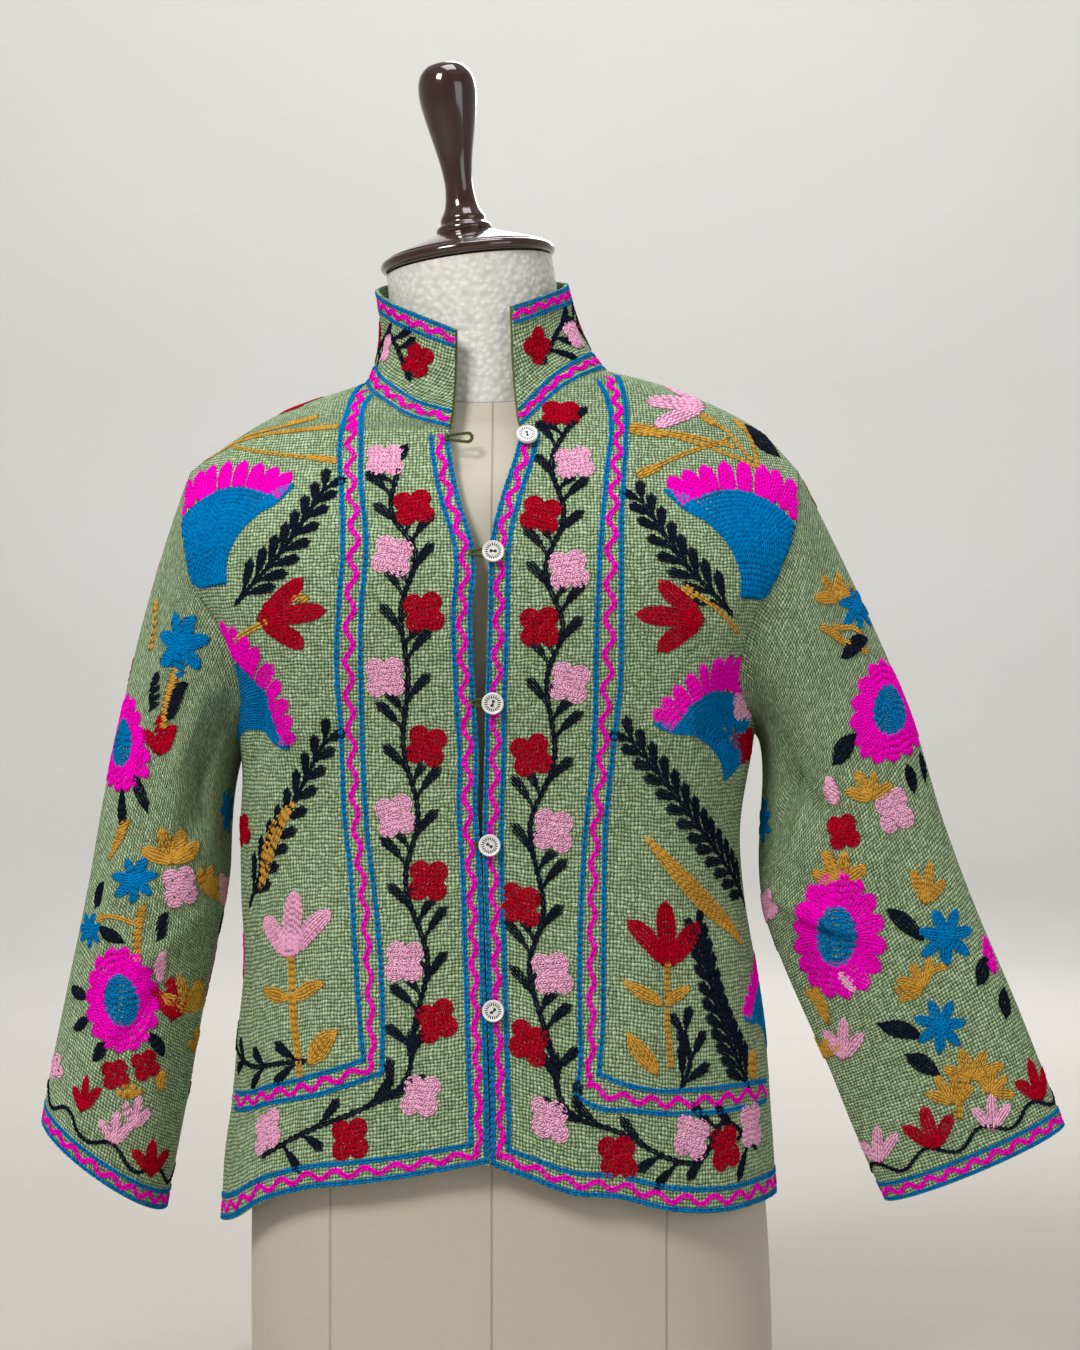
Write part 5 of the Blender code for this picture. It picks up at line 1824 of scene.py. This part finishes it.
# Down each front: the pixels of the flowers that its vine joins, from the collar to the hem and along it
VINES = {
    "front_left": """
385 460 414 506 393 556 424 613 385 676 426 745 395 815
428 881 405 963 437 1021 421 1095 350 1138 267 1132
""",
    "front_right": """
561 414 574 463 541 513 569 571 540 627 570 684 531 757 553 832
521 903 552 972 528 1044 549 1120 618 1157 691 1139 726 1148 751 1125
""",
}

# The inner border of each front in pixels, one row a line: outer and inner row down from the collar, then
# outer and inner row along the hem
INNER_BORDERS = {
    "front_left": """
364 384 350 404 340 441 342 502 343 553 339 604 336 666 341 724 344 813 351 874 355 945 359 1001 363 1061
374 393 362 414 361 472 366 543 362 604 360 666 363 762 367 833 375 894 380 955 382 1010 382 1072
363 1061 322 1074 282 1083 236 1091
382 1072 343 1087 302 1099 235 1107
""",
    "front_right": """
616 376 625 405 625 442 622 518 621 600 621 680 614 745 606 829 604 900 603 965 603 1027 599 1076
598 382 608 402 611 431 606 474 600 550 597 615 596 658 594 745 586 829 580 919 580 1008 580 1060 576 1098
599 1076 625 1085 654 1091 713 1090 766 1080
576 1098 605 1109 642 1112 690 1114 737 1107 766 1101
""",
}

# How far a border's outer row, wavy row and inner row lie from an edge. The back's second one lies higher
EDGE_BORDER = (0.0018, 0.0070, 0.0125)
HEM_BORDER = (0.0018, 0.0078, 0.0140)
CUFF_BORDER = (0.0018, 0.0072, 0.0128)
COLLAR_BORDER = (0.0018, 0.0068, 0.0118)
BACK_BORDER = (0.0790, 0.0850, 0.0910)

# The wavy black row above a cuff: its height, its swing and how fast it swings
CUFF_WAVE = (0.024, 0.005, 0.0065)

# The flowers along the back's hem: how many, their height and swing, and how far in the outer ones lie
BACK_FLOWERS = 11
BACK_FLOWER_HEIGHT = 0.046
BACK_FLOWER_SWING = 0.007
BACK_FLOWER_INSET = 0.022

# The collar's flowers: how many, where the first and last lie in its length, and their swing
COLLAR_FLOWERS = 13
COLLAR_FLOWER_ENDS = (0.055, 0.945)
COLLAR_FLOWER_SWING = 0.003

# How much longer a line is on the cloth than in the picture: as a rule, and within which bounds
LENS_USUAL = 1.15
LENS_LEAST = 0.8
LENS_MOST = 1.7

SLEEVE_MOTIFS = {
    "sleeve_left": """
star blue 180 645 size=1.05
branch mustard 150 650 155 600
stem mustard 178 668 160 722
leaf black 166 720 200 690 width=9
leaf black 152 712 160 676 width=8
tulip red 162 752 158 716
ring hot_pink 122 742 size=1.12 turn=0
leaf black 122 828 126 788 width=9
leaf black 148 812 141 778 width=8
star blue 135 880 size=0.75
spray mustard 173 862 172 822
disc light_pink 181 887 size=0.95
spray mustard 206 890 222 868
leaf black 96 908 112 886 width=8
leaf black 124 942 100 922 width=9
leaf black 160 940 170 912 width=7
stem mustard 142 905 138 962
branch mustard 140 925 88 914
star blue 90 930 size=0.6
ring hot_pink 121 1000 size=1.14 turn=0
leaf black 86 998 70 982 width=8
leaf black 88 1018 72 1020 width=8
leaf black 104 1042 92 1058 width=9
leaf black 150 1032 162 1058 width=9
leaf light_pink 160 984 162 948 width=9
tulip red 172 1016 174 982
spray mustard 190 1010 186 976
disc red 116 1074 size=0.7
disc red 146 1066 size=0.7
tulip red 82 1108 84 1076
tulip red 152 1172 150 1140
tulip light_pink 134 1124 138 1096
tulip light_pink 114 1142 116 1112
disc light_pink 56 1066 size=0.6
spray mustard 128 1098 128 1082
leaf mustard 128 820 104 850 width=7
leaf mustard 160 1090 166 1072 width=8
""",
    "sleeve_right": """
spray mustard 838 600 826 566
star blue 858 606 size=0.8
branch mustard 862 634 822 626
stem mustard 822 628 882 652
leaf black 842 658 874 646 width=11
ring hot_pink 890 710 size=1.20 turn=0
leaf black 834 764 860 740 width=12
leaf black 908 764 914 792 width=9
leaf black 920 752 928 782 width=8
leaf light_pink 836 806 834 776 width=11
spray mustard 872 800 868 770
disc light_pink 894 812 size=1.0
disc red 842 832 size=0.85
spray mustard 838 884 838 848
ring hot_pink 836 936 size=1.24 turn=0
leaf black 888 910 920 936 width=11
tulip mustard 926 900 934 862
star blue 946 937 size=1.0
stem mustard 946 965 900 986
spray mustard 924 988 900 968
star blue 940 1026 size=0.85
leaf black 878 1024 912 1038 width=12
leaf black 906 1054 938 1070 width=12
leaf black 978 986 998 962 width=11
leaf black 1006 1018 1008 990 width=10
leaf hot_pink 994 975 990 935 width=11
spray mustard 972 1078 972 1044
spray mustard 952 1104 944 1078
spray mustard 990 1092 1002 1070
stem mustard 968 1072 962 1118
tulip light_pink 842 1056 844 1020
leaf mustard 828 1024 822 990 width=8
leaf mustard 806 990 818 1008 width=7
tulip light_pink 878 1160 872 1126
tulip red 936 1146 926 1108
tulip light_pink 992 1128 990 1098
tulip red 1040 1098 1030 1064
leaf light_pink 838 972 850 995 width=7
""",
}

# Motifs on hidden sides: kind, yarn, the place in metres on the piece's chart, and the turn
SLEEVE_REST = """
ring hot_pink -0.150 0.330 0 size=1.3
star blue -0.165 0.245 0 size=0.95
ring hot_pink -0.135 0.120 0 size=1.3
disc light_pink -0.150 0.190 20
tulip red -0.115 0.265 20 size=0.9
leaf black -0.185 0.300 60 width=9
leaf black -0.115 0.200 120 width=9
spray mustard -0.130 0.400 0
tulip light_pink -0.160 0.420 0 size=0.9
star blue 0.110 0.330 0 size=0.9
disc light_pink 0.095 0.260 0
ring hot_pink 0.130 0.170 0 size=1.2
leaf black 0.100 0.215 70 width=9
leaf black 0.150 0.245 120 width=9
spray mustard 0.080 0.120 10
tulip red 0.105 0.075 0 size=0.85
tulip light_pink -0.110 0.045 0 size=0.85
tulip red -0.145 0.040 0 size=0.85
spray mustard -0.175 0.060 0
"""

BACK_MOTIFS = """
carnation blue 0.0 0.395 0 size=1.05
stem mustard 0.0 0.300 0 length=0.095
leaf mustard -0.018 0.345 150 width=10
leaf mustard 0.018 0.345 30 width=10
ring hot_pink 0.0 0.235 0 size=1.4
tulip red 0.0 0.130 0
leaf black -0.030 0.160 140 width=9
leaf black 0.030 0.160 40 width=9
tulip light_pink 0.0 0.515 0
"""
BACK_SIDE_MOTIFS = """
fern black 0.045 0.270 68 length=0.140 leaves=9
fern black 0.135 0.110 100 length=0.130 leaves=8
ring hot_pink 0.095 0.165 0 size=1.25
star blue 0.130 0.310 0 size=1.05
disc light_pink 0.060 0.225 10
disc red 0.155 0.245 0
tulip red 0.085 0.425 -30
tulip light_pink 0.170 0.145 0
carnation blue 0.150 0.400 -20 size=0.95 mirror=1
spray mustard 0.105 0.370 20
spray mustard 0.060 0.115 0
leaf mustard 0.050 0.360 60 width=10 length=40
leaf black 0.120 0.235 30 width=9
leaf black 0.075 0.300 110 width=9
branch mustard 0.075 0.500 0 length=0.060
branch mustard 0.060 0.490 -40 length=0.070
tulip red 0.135 0.520 -20
disc light_pink 0.050 0.460 0 size=0.9
leaf black 0.185 0.300 70 width=10
"""


# Motifs that take a size: how each is drawn, and how long it usually is in metres, or 1 where only a size
# counts
SIZED = {
    "tulip": (tulip, 0.028),
    "ring": (ring_flower, 0.0265),
    "spray": (leaf_spray, 0.020),
    "star": (star_flower, 1.0),
    "disc": (disc_flower, 1.0),
}
CARNATION_TALL = 0.083


def work(pen, kind, yarn, foot, turn, length, own):
    """Works one motif: its foot or middle, its turn from upright, its length in metres and its own sizes."""
    if kind in SIZED:
        draw, usual = SIZED[kind]
        draw(pen, yarn, foot, turn, own.get("size", (length or usual) / usual))
    elif kind == "carnation":
        carnation(pen, foot, turn, own.get("size", (length or CARNATION_TALL) / CARNATION_TALL), own)
    elif kind == "fern":
        long = own.get("length", length)
        way = np.array([-math.sin(math.radians(turn)), math.cos(math.radians(turn))])
        aside = np.array([way[1], -way[0]]) * (0.006 if way[0] > 0 else -0.006)
        path = [foot, foot + way * long * 0.5 + aside, foot + way * long]
        fern(pen, yarn, path, int(own.get("leaves", 10)))
    elif kind == "stem":
        pen.move(foot, turn)
        long = own.get("length", length) * 1000
        pen.stem(yarn, (-1.2, 0), (0.8, long / 2), (-1.2, long))
        pen.stem(yarn, (1.2, 0), (3.0, long / 2), (1.0, long))
    elif kind == "branch":
        pen.move(foot, turn)
        long = own.get("length", length) * 1000
        for share in np.linspace(0.05, 0.95, 12):
            pen.cover(2.4, (2.0 * math.sin(math.pi * share), long * share))
        pen.stem(yarn, (0, 0), (2.0, long / 2), (0, long * 0.9))
        pen.leaf(yarn, (0, long * 0.72), 90, long * 0.28, 6.0, blunt=1.3, narrow=0.5)
    else:
        pen.move(foot, turn + 90)
        long = own.get("length", (length or 0.022) * 1000)
        wide = own.get("width", 9)
        bend = 3.0 if kind == "leaf" else 9.0
        for share in (0.2, 0.4, 0.6, 0.8):
            pen.cover(wide * 0.45, (long * share, bend * share))
        pen.leaf(yarn, (0, 0), 0, long, wide, bend=bend, blunt=0.9, narrow=0.25)


def motifs(text):
    """A text's motifs, one a line: kind, yarn, its places' numbers, and its own sizes by their names."""
    for line in text.strip().splitlines():
        kind, yarn, *words = line.split()
        places = [float(word) for word in words if "=" not in word]
        own = dict(word.split("=") for word in words if "=" in word)
        yield kind, yarn, places, {name: float(value) for name, value in own.items()}


def work_pictured(pen, text):
    """Works motifs where the picture shows them, from the pixels of their feet and tips."""
    for kind, yarn, places, own in motifs(text):
        foot, tip = places[:2], places[2:]
        start, end = pen.chart.at_pixels(foot, tip or foot)
        way = end - start
        pen.look()
        if kind not in ("carnation", "fern"):
            pen.look(seen_through(pen.chart, foot))
            if tip:
                way = np.array([tip[0] - foot[0], foot[1] - tip[1]]) * PIXEL
        turn = own.get("turn", math.degrees(math.atan2(way[1], way[0])) - 90 if tip else 12.0)
        work(pen, kind, yarn, start, turn, float(np.linalg.norm(way)) if tip else None, own)
    pen.look()


def seen_through(chart, pixel, step=12):
    """How far the chart moves for a move to the right and a move up in the picture."""
    x, y = pixel
    here, *beside = chart.at_pixels(pixel, (x + step, y), (x - step, y), (x, y - step), (x, y + step))
    ways = []
    for first, second, plain in ((*beside[:2], (1, 0)), (*beside[2:], (0, 1))):
        pair = [way / (step * PIXEL) for way in (first - here, here - second)]
        way = min(pair, key=lambda way: abs(np.linalg.norm(way) - LENS_USUAL))
        length = np.linalg.norm(way)
        if not length > LENS_LEAST / 2:
            way, length = np.array(plain, dtype=float), 1.0
        ways.append(way * min(max(length, LENS_LEAST), LENS_MOST) / length)
    return np.column_stack(ways)


def work_hidden(pen, text, flip=1):
    """Works motifs on sides that the picture hides, in metres on the chart. A flip of -1 mirrors them."""
    for kind, yarn, (x, y, turn), own in motifs(text):
        if flip < 0 and "mirror" in own:
            own["mirror"] = 1 - own["mirror"]
        turn = (turn - 90 if kind in ("leaf", "fern") else turn) * flip
        work(pen, kind, yarn, np.array([x * flip, y]), turn, None, own)


def border(pen, outer, middle, inner, width, *swing):
    """Two blue rows with a wavy pink one between them."""
    pen.flat_row("blue", outer, width)
    zigzag(pen, middle, *swing)
    pen.flat_row("blue", inner, width)


def edge_path(chart, beside, above, facing):
    """A path along a front's opening edge, from the throat to the hem's corner, and one along the hem."""
    rows = np.linspace(THROAT_SHARE - 0.012, 0, 90)
    metres = chart.flatten(0 * rows, rows)
    metres[:, 0] += facing * beside
    down = metres[metres[:, 1] > above]
    corner = np.array([[down[-1, 0], above]])
    along = np.column_stack([np.linspace(corner[0, 0], chart.across[0][-1], 40)[1:], np.full(39, above)])
    return np.concatenate([down, corner]), np.concatenate([corner, along])


def level_lines(across, heights):
    """Level paths right across a chart."""
    return [np.column_stack([across, 0 * across + height]) for height in heights]


def flowers(places, first, swing, pace, size):
    """Flowers in two yarns by turns, each turned a little its own way."""
    return [
        (place, ("light_pink", "red")[(first + index) % 2], swing * math.sin(pace * index), size)
        for index, place in enumerate(places)
    ]


def work_front(pen, name, facing):
    chart = pen.chart
    lines = [edge_path(chart, *sizes, facing) for sizes in zip(EDGE_BORDER, HEM_BORDER)]
    for outer, middle, inner in zip(*lines):
        border(pen, outer, middle, inner, 1.2, 0.0024)
    marks = [np.array(row).reshape(-1, 2) for row in numbers(INNER_BORDERS[name])]
    paths = [smooth_path(chart.at_pixels(*mark), 60) for mark in marks]
    for outer, inner in zip(paths[::2], paths[1::2]):
        border(pen, outer, (outer + inner) / 2, inner, 1.25)
    places = chart.at_pixels(*np.array(VINES[name].split(), dtype=float).reshape(-1, 2))
    vine(pen, flowers(places, (facing + 1) // 2, 14.0, 2.3, 0.98))
    work_pictured(pen, FRONT_MOTIFS[name])


def work_back(pen):
    edge = pen.chart.across[0]
    across = np.linspace(edge.min(), edge.max(), 80)
    border(pen, *level_lines(across, HEM_BORDER), 1.0, 0.0027, 0.019)
    border(pen, *level_lines(across, BACK_BORDER), 1.0)
    x = np.linspace(across[0] + BACK_FLOWER_INSET, across[-1] - BACK_FLOWER_INSET, BACK_FLOWERS)
    y = BACK_FLOWER_HEIGHT + BACK_FLOWER_SWING * (-1.0) ** np.arange(BACK_FLOWERS)
    vine(pen, flowers(np.column_stack([x, y]), 1, 15, 1, 1.0))
    work_hidden(pen, BACK_MOTIFS)
    work_hidden(pen, BACK_SIDE_MOTIFS)
    work_hidden(pen, BACK_SIDE_MOTIFS, -1)


def work_sleeve(pen, name, facing):
    edge = pen.chart.across[-1]
    across = np.linspace(edge.min(), edge.max(), 90)
    border(pen, *level_lines(across, CUFF_BORDER), 1.0, 0.0025, 0.016)
    height, swing, pace = CUFF_WAVE
    pen.flat_row("black", np.column_stack([across, height + swing * np.sin(across / pace)]), 1.0)
    work_pictured(pen, SLEEVE_MOTIFS[name])
    work_hidden(pen, SLEEVE_REST, -facing)


def collar_line(chart, far, from_top):
    """A path along the collar, a given way in from its foot or from its top."""
    u = np.linspace(0, 1, 160)
    tall = np.linalg.norm(collar(u, 1 + 0 * u) - collar(u, 0 * u), axis=-1)
    share = 1 - far / tall if from_top else far / tall
    return chart.flatten(u, share)


def work_collar(pen):
    chart = pen.chart
    for from_top in (True, False):
        border(pen, *(collar_line(chart, far, from_top) for far in COLLAR_BORDER), 0.9, 0.0022, 0.016)
    u = np.linspace(*COLLAR_FLOWER_ENDS, COLLAR_FLOWERS)
    places = chart.flatten(u, 0 * u + 0.5)
    places[:, 1] += COLLAR_FLOWER_SWING * (-1.0) ** np.arange(COLLAR_FLOWERS)
    vine(pen, flowers(places, 1, 20, 1.7, 0.84))


def embroider(charts):
    finishes = {name: yarn_material(f"yarn_{name}", *tones) for name, tones in YARNS.items()}
    for name, chart in charts.items():
        pen = Needle(chart)
        facing = -1 if name.endswith("left") else 1
        if name.startswith("front"):
            work_front(pen, name, facing)
        elif name.startswith("sleeve"):
            work_sleeve(pen, name, facing)
        elif name == "back":
            work_back(pen)
        else:
            work_collar(pen)
        pen.meshes(name, finishes)


def main():
    build_camera()
    build_stage()
    build_form()
    charts = build_jacket()
    build_fastenings()
    embroider(charts)


main()
